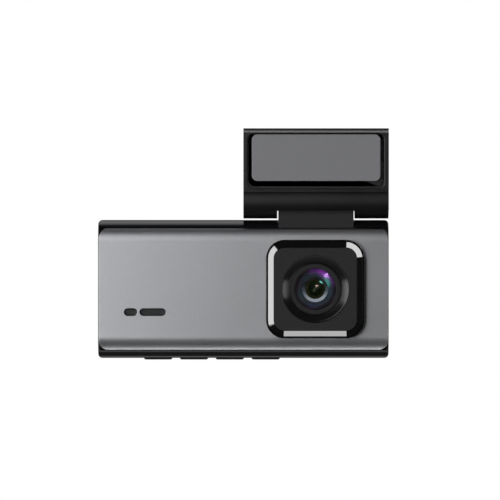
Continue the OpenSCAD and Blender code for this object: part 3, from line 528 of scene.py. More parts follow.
STOP_R = 7.05 * MM
# Painted highlight and shade on the stop's lip: base colours run from light at the bottom to dark at the top,
# by height.
LIP_PAINTED_LIGHT = [(0.10, (0.27, 0.275, 0.31)), (0.42, (0.040, 0.055, 0.07)), (0.68, (0.004, 0.008, 0.010))]
STOP_RINGS = [(0.0, (0.002, 0.002, 0.003)), (0.56, (0.002, 0.003, 0.004)), (0.60, (0.012, 0.026, 0.032)),
              (0.68, (0.015, 0.029, 0.038)), (0.74, (0.009, 0.019, 0.028)), (0.80, (0.013, 0.023, 0.034)),
              (0.86, (0.005, 0.011, 0.020)), (0.95, (0.003, 0.006, 0.012)), (1.0, (0.004, 0.005, 0.007))]
# Painted highlights in the stop's base colour: soft violet patches along the upper rim, a green one to the
# upper right, and faint teal and blue ones lower left and below.
STOP_PAINTED_GLOWS = [(32, 0.62, 0.36, (0.03, 0.20, 0.15)), (62, 0.98, 0.42, (0.24, 0.02, 0.34)),
              (80, 0.98, 0.36, (0.12, 0.01, 0.18)), (100, 0.98, 0.36, (0.09, 0.01, 0.14)),
              (40, 0.98, 0.36, (0.10, 0.01, 0.15)), (20, 1.0, 0.35, (0.07, 0.01, 0.11)),
              (205, 0.75, 0.50, (0.002, 0.012, 0.010)), (260, 0.95, 0.50, (0.004, 0.004, 0.020))]
front_glass_finish = coated_glass("violet_coated_glass", (0.72, 0.42, 1.0), 1.22, (0.97, 1.0, 1.0))
hollow_finish = coated_glass("green_coated_back", (0.3, 1.0, 0.85), 1.13, (1.0, 1.0, 1.0))
inner_glass_finish = coated_glass("amber_coated_glass", (1.0, 0.8, 0.55), 1.22, (0.9, 0.97, 1.0))
filter_finish = coated_glass("filter_glass", (1.0, 0.5, 0.3), 1.6, (0.7, 0.95, 0.9))
screen_finish = moulded("screen_glass", (0.006, 0.006, 0.007), 0.03, 0.05, 4 * MM, 0.002 * MM, 0.05, coat=1.0)
lcd_finish = moulded("dark_display", (0.012, 0.014, 0.022), 0.15, 0.2)
stop_finish = ringed_glass("blue_grey_rings", STOP_R, STOP_RINGS, STOP_PAINTED_GLOWS)
lip_painted_finish = painted_light_lip("polished_lip", LIP_PAINTED_LIGHT)
print(len(bpy.data.materials), "finishes in all")

# %% [markdown]
# ## Making surfaces
# Three ways cover nearly every piece. A profile is carried round an outline (bezel, pad, keys, glass),
# a profile is turned about an axis (rings, barrel, lenses, caps), or a solid is stacked from level
# slices whose front and back follow the body's side outline (plate, shell, rear housing). All of them
# end as a stack of closed rings with the same number of points, so one function builds the mesh.

# %% Rings to mesh
def build(name, rings, closed=False, smooth=35.0):
    """Joins rings, an array (count, points, 3), by quads between neighbours; open ends get a cap."""
    rings = np.asarray(rings, float)
    count, points = rings.shape[:2]
    i, j = np.meshgrid(np.arange(count if closed else count - 1), np.arange(points), indexing="ij")
    after = (i + 1) % count
    quads = np.stack([i * points + j, i * points + (j + 1) % points,
                      after * points + (j + 1) % points, after * points + j], axis=-1).reshape(-1, 4)
    faces = quads.tolist()
    if not closed:
        faces += [list(range(points)), list(range((count - 1) * points, count * points))]
    mesh = bpy.data.meshes.new(name)
    mesh.from_pydata(rings.reshape(-1, 3).tolist(), [], faces)
    piece = bpy.data.objects.new(name, mesh)
    bpy.context.scene.collection.objects.link(piece)
    tidy_mesh(piece, smooth)
    return piece


def tidy_mesh(piece, smooth=35.0):
    """Merges doubles, turns faces outwards and marks edges sharper than the angle."""
    work = bmesh.new()
    work.from_mesh(piece.data)
    bmesh.ops.remove_doubles(work, verts=work.verts, dist=1e-7)
    bmesh.ops.dissolve_degenerate(work, edges=work.edges, dist=1e-8)
    bmesh.ops.recalc_face_normals(work, faces=work.faces)
    work.to_mesh(piece.data)
    work.free()
    piece.data.shade_smooth()
    piece.data.set_sharp_from_angle(angle=np.radians(smooth))


# %% Outlines and profiles
TINY = 1e-6               # a thousandth of a millimetre: keeps a corner or a straight from vanishing


def outline(w, h, r, steps=10):
    """Rounded rectangle, counter-clockwise: quarter circles centre + r (cos t, sin t) joined by straights."""
    t = np.radians(np.linspace(0, 90, steps + 1))
    parts = []
    for k, (sx, sz) in enumerate([(1, 1), (-1, 1), (-1, -1), (1, -1)]):
        turn = t + k * np.pi / 2
        parts.append(np.stack([sx * (w / 2 - r) + r * np.cos(turn), sz * (h / 2 - r) + r * np.sin(turn)], -1))
    return np.concatenate(parts)


def filleted(points, radii, steps=4):
    """Open profile through points with each inner corner replaced by a tangent arc of its radius.
    The arc starts r / tan(half the corner's angle) before the corner and swings about its centre."""
    points = [np.array(p, float) for p in points]
    result = [points[0]]
    for k in range(1, len(points) - 1):
        before, corner, after, r = points[k - 1], points[k], points[k + 1], radii[k - 1]
        a = (before - corner) / np.linalg.norm(before - corner)
        b = (after - corner) / np.linalg.norm(after - corner)
        half = np.arccos(np.clip(a @ b, -1, 1)) / 2
        if r <= 0:
            result.append(corner)
            continue
        reach = min(r / np.tan(half), 0.49 * np.linalg.norm(before - corner),
                    0.49 * np.linalg.norm(after - corner))
        r = reach * np.tan(half)
        centre = corner + (a + b) / np.linalg.norm(a + b) * r / np.sin(half)
        start, end = corner + a * reach - centre, corner + b * reach - centre
        t = np.linspace(0, 1, steps + 1)[:, None]
        sweep = np.pi - 2 * half
        arc = (np.sin((1 - t) * sweep) * start + np.sin(t * sweep) * end) / np.sin(sweep)
        result.extend(centre + arc)
    result.append(points[-1])
    return np.array(result)


def carried(size, r, profile, centre, steps=10):
    """Rings of a profile carried round a rounded rectangle: each (inset, y) gives the outline made
    smaller by inset all round, with its corner radius r - inset, set at depth y."""
    w, h = size
    rings = []
    for inset, y in profile:
        flat = outline(w - 2 * inset, h - 2 * inset, max(r - inset, TINY), steps)
        rings.append(np.stack([centre[0] + flat[:, 0], np.full(len(flat), y), centre[2] + flat[:, 1]], -1))
    return np.array(rings)


def turned_rings(profile, centre, along="y", steps=96):
    """Rings of a profile of (radius, place) turned about an axis along Y or X through centre: they are
    radius (cos t, sin t)."""
    t = np.linspace(0, 2 * np.pi, steps, endpoint=False)
    profile = np.asarray(profile, float)
    r, place = profile[:, :1], profile[:, 1:2]
    a, b = r * np.cos(t), r * np.sin(t)
    flat = np.broadcast_to(place, a.shape)
    if along == "y":
        return np.stack([centre[0] + a, flat, centre[2] + b], -1)
    return np.stack([flat, centre[1] + a, centre[2] + b], -1)


# %% Cutting and softening
def combine(piece, other, way):
    """Joins another solid to the piece (UNION) or takes it out (DIFFERENCE), and deletes the other."""
    step = piece.modifiers.new("combine", "BOOLEAN")
    step.operation = way
    step.solver = "EXACT"
    step.object = other
    apply_all(piece)
    bpy.data.objects.remove(other)


def cut(piece, cutter):
    """Takes the cutter's volume out of the piece."""
    combine(piece, cutter, "DIFFERENCE")


def apply_all(piece):
    """Writes the modified mesh back into the piece and clears its modifiers."""
    ready = piece.evaluated_get(bpy.context.evaluated_depsgraph_get())
    mesh = bpy.data.meshes.new_from_object(ready)
    old = piece.data
    piece.modifiers.clear()
    piece.data = mesh
    bpy.data.meshes.remove(old)


def soften(piece, width, segments, angle):
    """Rounds every edge sharper than the angle, as a mould or a cutter leaves it."""
    step = piece.modifiers.new("soften", "BEVEL")
    step.width = width
    step.segments = segments
    step.limit_method = "ANGLE"
    step.angle_limit = np.radians(angle)
    step.use_clamp_overlap = False
    step.miter_outer = "MITER_ARC"
    apply_all(piece)
    even_shading(piece)


def even_shading(piece):
    """Lets the large flat faces rule the shading, so that a cut edge leaves no shadow on them."""
    tidy_mesh(piece, 40.0)
    even = piece.modifiers.new("even_shading", "WEIGHTED_NORMAL")
    even.keep_sharp = True
    even.weight = 60
    apply_all(piece)


def prism_y(name, size, r, centre, y0, y1, steps=10):
    """Plain rounded bar along Y, used as a cutter."""
    return build(name, carried(size, r, [(0, y0), (0, y1)], centre, steps))


def rod(name, centre, r, start, end, along="y", steps=48):
    """Plain round bar from start to end, used as a cutter."""
    return build(name, turned_rings([(r, start), (r, end)], centre, along, steps))


# %% Level slices
def slices(z, front, back, half, edge, steps=3):
    """Rings of a solid stacked from level slices, about the body's middle. At height z the slice runs
    from x = -half to half and from y = front to back, with quarter circles of radius edge as corners."""
    z, front, back, half = np.broadcast_arrays(*[np.asarray(a, float) for a in (z, front, back, half)])
    edge = np.minimum(np.broadcast_to(edge, z.shape), (back - front) * 0.45)
    t = np.radians(np.linspace(0, 90, steps + 1))
    parts = []
    for k, (sx, sy) in enumerate([(1, 1), (-1, 1), (-1, -1), (1, -1)]):
        turn = t + k * np.pi / 2
        x = sx * (half - edge)[:, None] + edge[:, None] * np.cos(turn)
        edge_y = np.where(sy > 0, back - edge, front + edge)
        parts.append(np.stack([x, edge_y[:, None] + edge[:, None] * np.sin(turn),
                               np.broadcast_to(z[:, None], x.shape)], -1))
    rings = np.concatenate(parts, axis=1)
    return rings + np.array([body_mid[0], 0, body_mid[2]])


def round_end(distance, r):
    """How far a quarter-round edge falls back at a distance from its end: r - sqrt(r^2 - (r - d)^2)."""
    inside = np.clip(r - distance, 0, r)
    return r - np.sqrt(np.maximum(r * r - inside * inside, 0))


BODY_H = body_size[2] / 2


def body_front_at(z, depth=0.0):
    """The body's front face at height z from its middle, depth below its surface."""
    return body_front + depth + round_end(BODY_H - depth - np.abs(z), EDGE_R - depth)


def body_back_at(z, depth=0.0):
    """The body's rear face at height z."""
    return body_high[1] - depth - round_end(BODY_H - depth - np.abs(z), REAR_EDGE_R - depth)


def stands_for(piece, node, finish):
    """Gives the piece its finish, lets it move with the node's body, shows it in the node's place and
    prints its size and face count."""
    piece.data.materials.clear()
    piece.data.materials.append(finish)
    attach(piece, body_of(frame["nodes"][node])[0])
    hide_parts(node)
    points = np.array([v.co for v in piece.data.vertices])
    size = np.round((points.max(0) - points.min(0)) / MM, 2)
    print(f"{piece.name}: {size} mm, {len(piece.data.polygons)} faces")
    return piece


# %% [markdown]
# ## Front plate
# The plate follows the body's rounded front: level slices whose front and back both bend back towards
# the top and bottom edge, on two circles with one centre. Seen from the front its corners are round.
# The two sound slots are cut out and every edge is broken; the bezel's opening is cut after that and keeps
# sharp edges.

# %% Front plate
plate_top = (plate_high[2] - plate_low[2]) / 2
plate_half = (plate_high[0] - plate_low[0]) / 2
bezel_w = bezel_high[0] - bezel_low[0]
BEZEL_R = 6.4 * MM
BEZEL_GAP = 0.06 * MM     # between the bezel and the plate's opening
SLOT_H = 2.55 * MM
SLOTS_AT = [(-63.8 * MM, 4.5 * MM), (-56.15 * MM, 9.0 * MM)]   # middle and length of each slot
SLOT_Z = lens_mid[2] - 7.9 * MM


def rows(top, r, start, steps=12):
    """Heights for slices: both ends of the flat middle, which start is half of, then evenly to the
    corner, then by r sin(t) round the corner."""
    middle = np.array([-start, start])
    upper = np.linspace(start, top - r, 4)
    end = top - r + r * np.sin(np.linspace(0, np.pi / 2, steps))
    return np.unique(np.round(np.concatenate([middle, upper, -upper, end, -end]), 7))


TOP_LINE = 0.26 * MM      # height of the chamfer along the plate's upper edge
TOP_SLOPE = 1.6           # how steeply it falls back


def plate_form(name, gap, front_lift, depth):
    """The plate's outline grown by a gap, from front_lift before the body's surface to a depth below
    it. The plate itself, with no lift, has the chamfer along its upper edge."""
    top = plate_top + gap
    z = rows(top, PLATE_R + gap, BODY_H - EDGE_R)
    half = plate_half + gap - round_end(top - np.abs(z), PLATE_R + gap)
    front = body_front_at(z) - front_lift
    if front_lift == 0:
        front = front + TOP_SLOPE * np.clip(z - (top - TOP_LINE), 0, None)
    return build(name, slices(z, front, body_front_at(z, depth), half, 0.0, steps=0))


plate = plate_form("front_plate_sheet", 0.0, 0.0, PLATE_T)
for middle, length in SLOTS_AT:
    cut(plate, prism_y("slot", (length, SLOT_H), SLOT_H / 2 - TINY, (middle, 0, SLOT_Z),
                       body_front - 2 * MM, body_front + 4 * MM, 10))
soften(plate, 0.14 * MM, 2, 40)
opening = bezel_w + 2 * BEZEL_GAP
cut(plate, prism_y("opening", (opening, opening), BEZEL_R + BEZEL_GAP, lens_mid,
                   body_front - 2 * MM, body_front + 4 * MM, 24))
even_shading(plate)
stands_for(plate, "front_plate", plate_finish)

# %% [markdown]
# ## Body shell and rear housing
# Both are slices of one body form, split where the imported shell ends. The shell gets a seat for the plate, a
# room inside, the neck's pocket, four key holes, the card's slot and the two sockets' openings.

# %% Body form
SPLIT_Y = shell_high[1]
ROOM_FRONT = body_front + 2.7 * MM
ROOM_BACK = body_high[1] - 2.0 * MM
ROOM_R = 5.15 * MM
keys = ["power_button", "menu_button", "lock_button", "ok_button"]
key_mids = [np.mean(span(key), axis=0) for key in keys]
KEY_W, KEY_L = 3.4 * MM, 9.7 * MM


def body_half_at(z, depth=0.0):
    """Half the body's width at height z, with the small corner radius it has seen from the front."""
    return body_size[0] / 2 - depth - round_end(BODY_H - depth - np.abs(z), CORNER_R)


def upright(rings):
    """Turns rings made along Y into rings along Z: (x, y, z) becomes (x, z, y)."""
    return rings[..., [0, 2, 1]]


def pill_up(name, middle, length, width, z0, z1):
    """Upright slot-shaped bar, used as a cutter."""
    rings = carried((length, width), width / 2 - TINY, [(0, z0), (0, z1)], (middle[0], 0, middle[1]), 12)
    return build(name, upright(rings))


def room_form(name, front, back):
    """The space inside the body between two depths, rounded like the body's own edges."""
    z = rows(BODY_H - WALL, ROOM_R, 12 * MM, 8)
    nose = ROOM_FRONT + round_end(BODY_H - WALL - np.abs(z), ROOM_R)
    return build(name, slices(z, np.maximum(front, nose), back, body_size[0] / 2 - WALL, 0.4 * MM, steps=2))


SIDE_EDGE = 0.45 * MM     # rounding of the body's upright edges
z = rows(BODY_H, EDGE_R, BODY_H - EDGE_R - 1 * MM, 24)
shell = build("body_shell_moulding",
              slices(z, body_front_at(z), SPLIT_Y, body_half_at(z), SIDE_EDGE, steps=4))
cut(shell, plate_form("seat", PLATE_GAP, 3 * MM, PLATE_T + PLATE_GAP))
cut(shell, room_form("room", ROOM_FRONT, SPLIT_Y + 2 * MM))
neck_mid = (neck_low + neck_high) / 2
neck_bottom = neck_low[2]
z = np.linspace(neck_bottom - 3.05 * MM, body_high[2] - WALL + 0.3 * MM, 5) - body_mid[2]
seat = slices(z, body_front_at(z, WALL), neck_high[1] + WALL, neck_high[0] + 3 * MM, 0.0, steps=0)
seat += np.array([neck_mid[0] - body_mid[0], 0, 0])
combine(shell, build("neck_seat", seat), "UNION")
pocket = (neck_high[0] - neck_low[0] + 0.2 * MM, neck_high[1] - neck_low[1] + 0.2 * MM)
profile = [(0, neck_bottom - 0.05 * MM), (0, body_high[2] + 5 * MM)]
cut(shell, build("pocket", upright(carried(pocket, 0.7 * MM, profile, (neck_mid[0], 0, neck_mid[1]), 6))))
LENS_HOLE_R = 10.3 * MM
cut(shell, rod("lens_hole", lens_mid, LENS_HOLE_R, body_front - MM, ROOM_FRONT + MM, steps=64))
LEDGE = 0.6 * MM          # how much smaller the slots behind the plate's are
for middle, length in SLOTS_AT:
    cut(shell, prism_y("slot", (length - LEDGE, SLOT_H - LEDGE), (SLOT_H - LEDGE) / 2 - TINY,
                       (middle, 0, SLOT_Z), body_front - MM, ROOM_FRONT + MM, 8))
for middle in key_mids:
    cut(shell, pill_up("key_hole", middle, KEY_L + 0.3 * MM, KEY_W + 0.3 * MM,
                       body_low[2] - MM, body_low[2] + WALL + MM))

# %% Openings at the sides
card_mid, usb_mid, jack_mid = [np.mean(span(node), axis=0)
                               for node in ("memory_card", "usb_socket", "rear_camera_jack")]


def along_x(rings):
    """Turns rings made along Y into rings along X: (x, y, z) becomes (y, x, z)."""
    return rings[..., [1, 0, 2]]


def pill_x(name, middle, tall, wide, r, x0, x1, steps=12):
    """Level bar of the given height in Z and width in Y, used as a cutter in the side walls."""
    rings = carried((wide, tall), r, [(0, x0), (0, x1)], (middle[1], 0, middle[2]), steps)
    return build(name, along_x(rings))


SIDE_L, SIDE_R = body_low[0], body_high[0]
CARD_SLOT = (11.8 * MM, 1.4 * MM, 0.6 * MM)            # height, width and corner radius
POWER_OPENING = (10.14 * MM, 4.36 * MM, 2.179 * MM)
PLUG_R = 2.6 * MM
cut(shell, pill_x("card_slot", card_mid, *CARD_SLOT, SIDE_L - MM, SIDE_L + 3 * MM))
cut(shell, pill_x("power_opening", usb_mid, *POWER_OPENING, SIDE_R - 3 * MM, SIDE_R + MM))
cut(shell, rod("plug_room", jack_mid, PLUG_R, SIDE_R - 3 * MM, SIDE_R + MM, "x", 64))
soften(shell, 0.14 * MM, 3, 42)
stands_for(shell, "body_shell", shell_finish)

# %% Rear housing
glass_low, glass_high = span("display_glass")
glass_mid = (glass_low + glass_high) / 2
GLASS_R = 2.5 * MM
z = rows(BODY_H, REAR_EDGE_R, BODY_H - REAR_EDGE_R - 1 * MM, 14)
rear = build("rear_housing_moulding",
             slices(z, SPLIT_Y + 0.05 * MM, body_back_at(z), body_half_at(z), SIDE_EDGE, steps=4))
cut(rear, room_form("room", SPLIT_Y - 3 * MM, ROOM_BACK))
glass_size = glass_high - glass_low
cut(rear, prism_y("glass_seat", (glass_size[0] + 0.2 * MM, glass_size[2] + 0.2 * MM), GLASS_R + 0.1 * MM,
                  glass_mid, glass_low[1] - 0.05 * MM, body_high[1] + MM, 12))
DISPLAY_OPENING = (78.4 * MM, 38.4 * MM)
cut(rear, prism_y("display_opening", DISPLAY_OPENING, 0.3 * MM, glass_mid, ROOM_BACK - MM, body_high[1], 4))
soften(rear, 0.16 * MM, 3, 42)
stands_for(rear, "rear_cover", shell_finish)

# %% [markdown]
# ## Lens bezel
# One profile carried round a rounded square: a straight side, a narrow flat rim, a chamfer at 45
# degrees and a seat for the matt plate. Its corners are nested circles, so the chamfer keeps its width.

# %% Bezel
chamfer = 2.0 * MM
rim = 0.7 * MM
top_y, side_y = bezel_low[1], bezel_low[1] + chamfer
profile = filleted(
    [(0.15 * MM, bezel_high[1]), (0, bezel_high[1] - 0.15 * MM), (0, side_y), (rim, side_y),
     (rim + chamfer - 0.12 * MM, top_y + 0.12 * MM), (rim + chamfer + 0.06 * MM, top_y + 0.10 * MM),
     (rim + chamfer + 0.06 * MM, top_y + 1.6 * MM)],
    [0.05 * MM, 0.18 * MM, 0.10 * MM, 0.10 * MM, 0.05 * MM], 5)
RING_SEAT_R, BARREL_HOLE_R = 11.6 * MM, 8.85 * MM
bezel = build("lens_bezel_frame", carried((bezel_w, bezel_w), BEZEL_R, profile, lens_mid, 28), smooth=30)
cut(bezel, rod("ring_seat", lens_mid, RING_SEAT_R, top_y - MM, top_y + 3.2 * MM, steps=128))
cut(bezel, rod("barrel_hole", lens_mid, BARREL_HOLE_R, top_y - MM, bezel_high[1] + MM, steps=128))
tidy_mesh(bezel, 30)
stands_for(bezel, "lens_bezel", bezel_finish)

# %% Matt plate inside the chamfer
face_low, face_high = span("lens_face_plate")
face_w = face_high[0] - face_low[0]
FACE_R = 3.7 * MM
profile = filleted([(0.1 * MM, face_high[1]), (0, face_high[1]), (0, face_low[1]), (0.3 * MM, face_low[1])],
                   [0.05 * MM, 0.12 * MM], 4)
face = build("lens_face_plate_sheet", carried((face_w, face_w), FACE_R, profile, lens_mid, 28))
cut(face, rod("ring_hole", lens_mid, RING_SEAT_R, face_low[1] - MM, face_high[1] + MM, steps=128))
soften(face, 0.10 * MM, 3, 50)
stands_for(face, "lens_face_plate", face_finish)

# %% [markdown]
# ## Lens
# The ring, barrel, lenses and aperture stop are turned about the lens axis from their own profiles.
# Points on a ball's surface follow depth = apex + R - sqrt(R^2 - r^2).

# %% Ring and barrel
def turned_piece(node, name, profile, radii, finish):
    """Closed profile of (radius, depth), each corner rounded by its radius, turned about the lens axis."""
    middle = np.mean([profile[-1], profile[0]], axis=0)   # the loop starts and ends on a straight
    loop = filleted([middle] + profile + [middle], radii)[:-1]
    piece = build(name, turned_rings(loop, lens_mid, steps=128), closed=True, smooth=30)
    return stands_for(piece, node, finish)


ring_low, ring_high = span("lens_ring")
y = ring_low[1]
profile = [(11.5 * MM, ring_high[1]), (11.5 * MM, y), (11.22 * MM, y + 0.28 * MM),
           (11.08 * MM, y + 0.32 * MM), (9.15 * MM, y + 1.78 * MM), (BARREL_HOLE_R, y + 1.48 * MM),
           (BARREL_HOLE_R, ring_high[1])]
radii = [0, 0.03 * MM, 0.04 * MM, 0.04 * MM, 0.05 * MM, 0.03 * MM, 0]
ring = turned_piece("lens_ring", "lens_ring_cone", profile, radii, ring_finish)
y = barrel_low[1]
step_y = span("second_lens")[0][1] - 0.05 * MM
profile = [(8.75 * MM, barrel_high[1]), (8.75 * MM, y), (7.1 * MM, y), (7.1 * MM, step_y),
           (5.45 * MM, step_y), (5.45 * MM, barrel_high[1])]
radii = [0.2 * MM, 0.18 * MM, 0.16 * MM, 0, 0, 0.1 * MM]
turned_piece("lens_barrel", "lens_barrel_tube", profile, radii, barrel_finish)

# %% Glass and stop
def ball(apex, ball_r, r0, r1, steps=24):
    """Points (radius, depth) on a ball's surface from radius r0 to r1."""
    r = np.linspace(r0, r1, steps)
    return np.stack([r, apex + ball_r - np.sqrt(ball_r ** 2 - r ** 2)], -1)


lens_low, lens_high = span("front_lens")
FRONT_R, BACK_R = 13.0 * MM, 7.0 * MM
hollow_y = lens_low[1] + 2.5 * MM
hollow_r = np.sqrt(BACK_R ** 2 - (hollow_y + BACK_R - lens_high[1]) ** 2)
dome = ball(lens_low[1], FRONT_R, 0, 6.95 * MM)
edge = np.array([(7.05 * MM, dome[-1, 1] + 0.1 * MM), (7.05 * MM, lens_high[1] - 0.08 * MM),
                 (6.97 * MM, lens_high[1])])
hollow = ball(hollow_y, BACK_R, hollow_r, 0)
profile = np.concatenate([dome, edge, hollow])
front_lens = build("front_lens_glass", turned_rings(profile, lens_mid), smooth=25)
stands_for(front_lens, "front_lens", front_glass_finish)


def second_finish(piece, finish, reach, after):
    """Gives the faces within reach of the lens axis, and behind the given depth, another finish."""
    piece.data.materials.append(finish)
    middle = np.zeros(len(piece.data.polygons) * 3)
    piece.data.polygons.foreach_get("center", middle)
    middle = middle.reshape(-1, 3)
    r = np.hypot(middle[:, 0] - lens_mid[0], middle[:, 2] - lens_mid[2])
    inside = (r < reach) & (middle[:, 1] > after)
    piece.data.polygons.foreach_set("material_index", inside.astype(np.int32))


second_finish(front_lens, hollow_finish, hollow_r * 0.99, hollow_y - 0.01 * MM)

stop_low, stop_high = span("aperture_stop")
LIP_R = 4.45 * MM
y = stop_low[1]
profile = [(STOP_R, stop_high[1]), (STOP_R, y), (5.45 * MM, y), (LIP_R, y + 1.20 * MM),
           (3.4 * MM, stop_high[1] - 0.03 * MM), (3.4 * MM, stop_high[1])]
stop = turned_piece("aperture_stop", "aperture_stop_disc", profile, [0, 0, 0.1 * MM, 0, 0, 0], stop_finish)
# The lip's faces take the finish with the painted highlight along its lower half.
second_finish(stop, lip_painted_finish, LIP_R, y + 0.5 * MM)

second_low, second_high = span("second_lens")
dome = ball(second_low[1], FRONT_R, 0, 5.4 * MM)
profile = np.concatenate([dome, [(5.4 * MM, second_high[1]), (0, second_high[1])]])
second = build("second_lens_glass", turned_rings(profile, lens_mid), smooth=25)
stands_for(second, "second_lens", hollow_finish)

rear_low, rear_high = span("rear_lens")
nose = ball(rear_low[1], 3.0 * MM, 0, 2.4 * MM)
tail = ball(0, 1.6 * MM, 1.4 * MM, 0)
tail[:, 1] = rear_high[1] - tail[:, 1]
profile = np.concatenate([nose, [(5.4 * MM, nose[-1, 1]), (5.4 * MM, tail[0, 1])], tail])
rear_glass = build("rear_lens_glass", turned_rings(profile, lens_mid), smooth=25)
stands_for(rear_glass, "rear_lens", inner_glass_finish)

# %% [markdown]
# ## Bracket
# Cover and base keep one side outline over their whole width, so each is an outline in Y and Z carried
# along X. The cover's outline steps back below the plate into a rounded shroud over the hinge.

# %% Arcs in the side view
def arc(centre, r, start, end, steps=24):
    """Points of a circle from one angle to another in degrees, 0 towards the rear and 90 upwards."""
    t = np.radians(np.linspace(start, end, steps + 1))
    return np.stack([centre[0] + r * np.cos(t), centre[1] + r * np.sin(t)], -1)


def along(name, side, stations):
    """Rings of side outlines (Y, Z) standing at stations along X: one outline, or one for each station."""
    side = np.asarray(side, float)
    if side.ndim == 2:
        side = np.broadcast_to(side, (len(stations),) + side.shape)
    x = np.broadcast_to(np.asarray(stations, float)[:, None, None], side.shape[:2] + (1,))
    return build(name, np.concatenate([x, side], -1))


hy, hz = hinge[1], hinge[2]
HINGE = (hy, hz)
half_bracket = (cover_high[0] - cover_low[0]) / 2
SCREW_X, SCREW_Z, SCREW_SEAT_R = 20 * MM, 5 * MM, 1.75 * MM
CAP_SEAT_R = 3.1 * MM
front_y, back_y = cover_low[1], 3.5 * MM
top_z = cover_high[2]
BRACKET_R = 1.2 * MM
SHROUD_R, SHROUD_IN = 6.8 * MM, 6.05 * MM
ledge_z, lip_z = hz + 4.0 * MM, hz - 3.4 * MM


def angle_at(r, dy=None, dz=None):
    """Angle in degrees of the circle's front half at a distance dy behind, or dz above, its centre."""
    if dz is not None:
        return 180 - np.degrees(np.arcsin(dz / r))
    return np.degrees(np.arccos(dy / r))


# %% Cover
shroud = arc(HINGE, SHROUD_R, angle_at(SHROUD_R, dz=ledge_z - hz), angle_at(SHROUD_R, dz=lip_z - hz), 40)
inside = arc(HINGE, SHROUD_IN, angle_at(SHROUD_IN, dz=lip_z - hz), angle_at(SHROUD_IN, dy=back_y - hy), 40)
# The upper front edge is a wide, slightly curved chamfer, 44 degrees back at its foot and 60 at its head
FOOT, HEAD, BEND_R, NOSE_R = 44, 60, 8.6 * MM, 0.5 * MM
foot_cos, foot_sin = np.cos(np.radians(FOOT)), np.sin(np.radians(FOOT))
head_cos, head_sin = np.cos(np.radians(HEAD)), np.sin(np.radians(HEAD))
foot_z = top_z - BEND_R * (head_sin - foot_sin) - NOSE_R * (1 - head_sin)
bend = arc((front_y + BEND_R * foot_cos, foot_z - BEND_R * foot_sin), BEND_R, 180 - HEAD, 180 - FOOT, 8)
nose = arc(bend[0] + NOSE_R * np.array([head_cos, -head_sin]), NOSE_R, 90, 180 - HEAD, 6)
print("bracket's top chamfer from", np.round(bend[-1] / MM, 2), "to", np.round(nose[0] / MM, 2))
side = np.concatenate([[(back_y, top_z)], nose[:-1], bend, [(front_y, ledge_z)], shroud, inside])
cover = along("bracket_cover_moulding", side, (-half_bracket, half_bracket))
# Each step: how far it goes past the pad at the sides, above and below, and its share of the depth
RECESS = [(1.40, 0.16, 2.55, 1 / 3), (0.95, 0.12, 1.63, 2 / 3), (0.50, 0.08, 0.94, 1)]
pad_size = pad_high - pad_low
PAD_R = 1.9 * MM
RECESS_EDGE = 0.24 * MM   # width of the slope on each step's edge
RECESS_FALL = 0.28        # its depth as a share of its width
face_y = front_y
for wide, above, below, share in RECESS:
    size = (pad_size[0] + 2 * wide * MM, pad_size[2] + (above + below) * MM)
    middle = (0, 0, (above - below) / 2 * MM)
    floor_y = front_y + (pad_high[1] - front_y) * share
    profile = [(-RECESS_EDGE, face_y - 2 * MM), (-RECESS_EDGE, face_y),
               (0, face_y + RECESS_EDGE * RECESS_FALL), (0, floor_y)]
    cut(cover, build("step", carried(size, PAD_R + above * MM, profile, middle, 12)))
    face_y = floor_y
soften(cover, 0.06 * MM, 2, 44)
stands_for(cover, "bracket_cover", cover_finish)

# %% Base with its two cheeks
cheek_x = 13.35 * MM
CHEEK_R = 6.0 * MM
base_front, base_back = base_low[1], 6.0 * MM
start = np.concatenate([arc((base_back - BRACKET_R, top_z - BRACKET_R), BRACKET_R, 0, 90, 12),
                        [(base_front, top_z)]])
around = arc(HINGE, CHEEK_R, angle_at(CHEEK_R, dy=base_front - hy),
             360 + angle_at(CHEEK_R, dy=base_back - hy), 96)
over = arc(HINGE, SHROUD_IN, angle_at(SHROUD_IN, dy=base_front - hy),
           angle_at(SHROUD_IN, dy=base_back - hy), 96)
cheek_side = np.concatenate([start, around])
middle_side = np.concatenate([start, over])
base = along("bracket_base_moulding",
             [cheek_side, cheek_side, middle_side, middle_side, cheek_side, cheek_side],
             (-half_bracket, -cheek_x, -cheek_x, cheek_x, cheek_x, half_bracket))
for s in (-1, 1):
    ends = sorted([s * half_bracket + s * MM, s * (half_bracket - MM)])
    cut(base, rod("cap_seat", hinge, CAP_SEAT_R, ends[0], ends[1], "x", 64))
    for h in (-SCREW_Z, SCREW_Z):
        cut(base, rod("screw_seat", (s * SCREW_X, 0, h), SCREW_SEAT_R, base_back - 1.2 * MM, base_back + MM))
soften(base, 0.07 * MM, 3, 38)
stands_for(base, "bracket_base", cover_finish)

# %% Adhesive pad
profile = filleted([(0.2 * MM, pad_high[1]), (0, pad_high[1]), (0, pad_low[1]), (0.6 * MM, pad_low[1])],
                   [0.08 * MM, 0.22 * MM], 5)
rings = carried((pad_size[0], pad_size[2]), PAD_R, profile, (0, 0, 0), 16)
pad = build("adhesive_pad_foam", rings, smooth=50)
stands_for(pad, "adhesive_pad", pad_finish)

# %% Neck
KNUCKLE_R = 5.6 * MM
stem_front, stem_back = hy - 3.6 * MM, 10.8 * MM
front_angle = 360 - angle_at(KNUCKLE_R, dy=stem_front - hy)
back_angle = -angle_at(KNUCKLE_R, dy=stem_back - hy)
side = np.concatenate([[(stem_front, neck_bottom), (stem_back, neck_bottom)],
                       arc(HINGE, KNUCKLE_R, back_angle, front_angle, 80)])
neck = along("hinge_neck_moulding", side, (neck_low[0], neck_high[0]))
soften(neck, 0.07 * MM, 3, 38)
stands_for(neck, "hinge_neck", neck_finish)

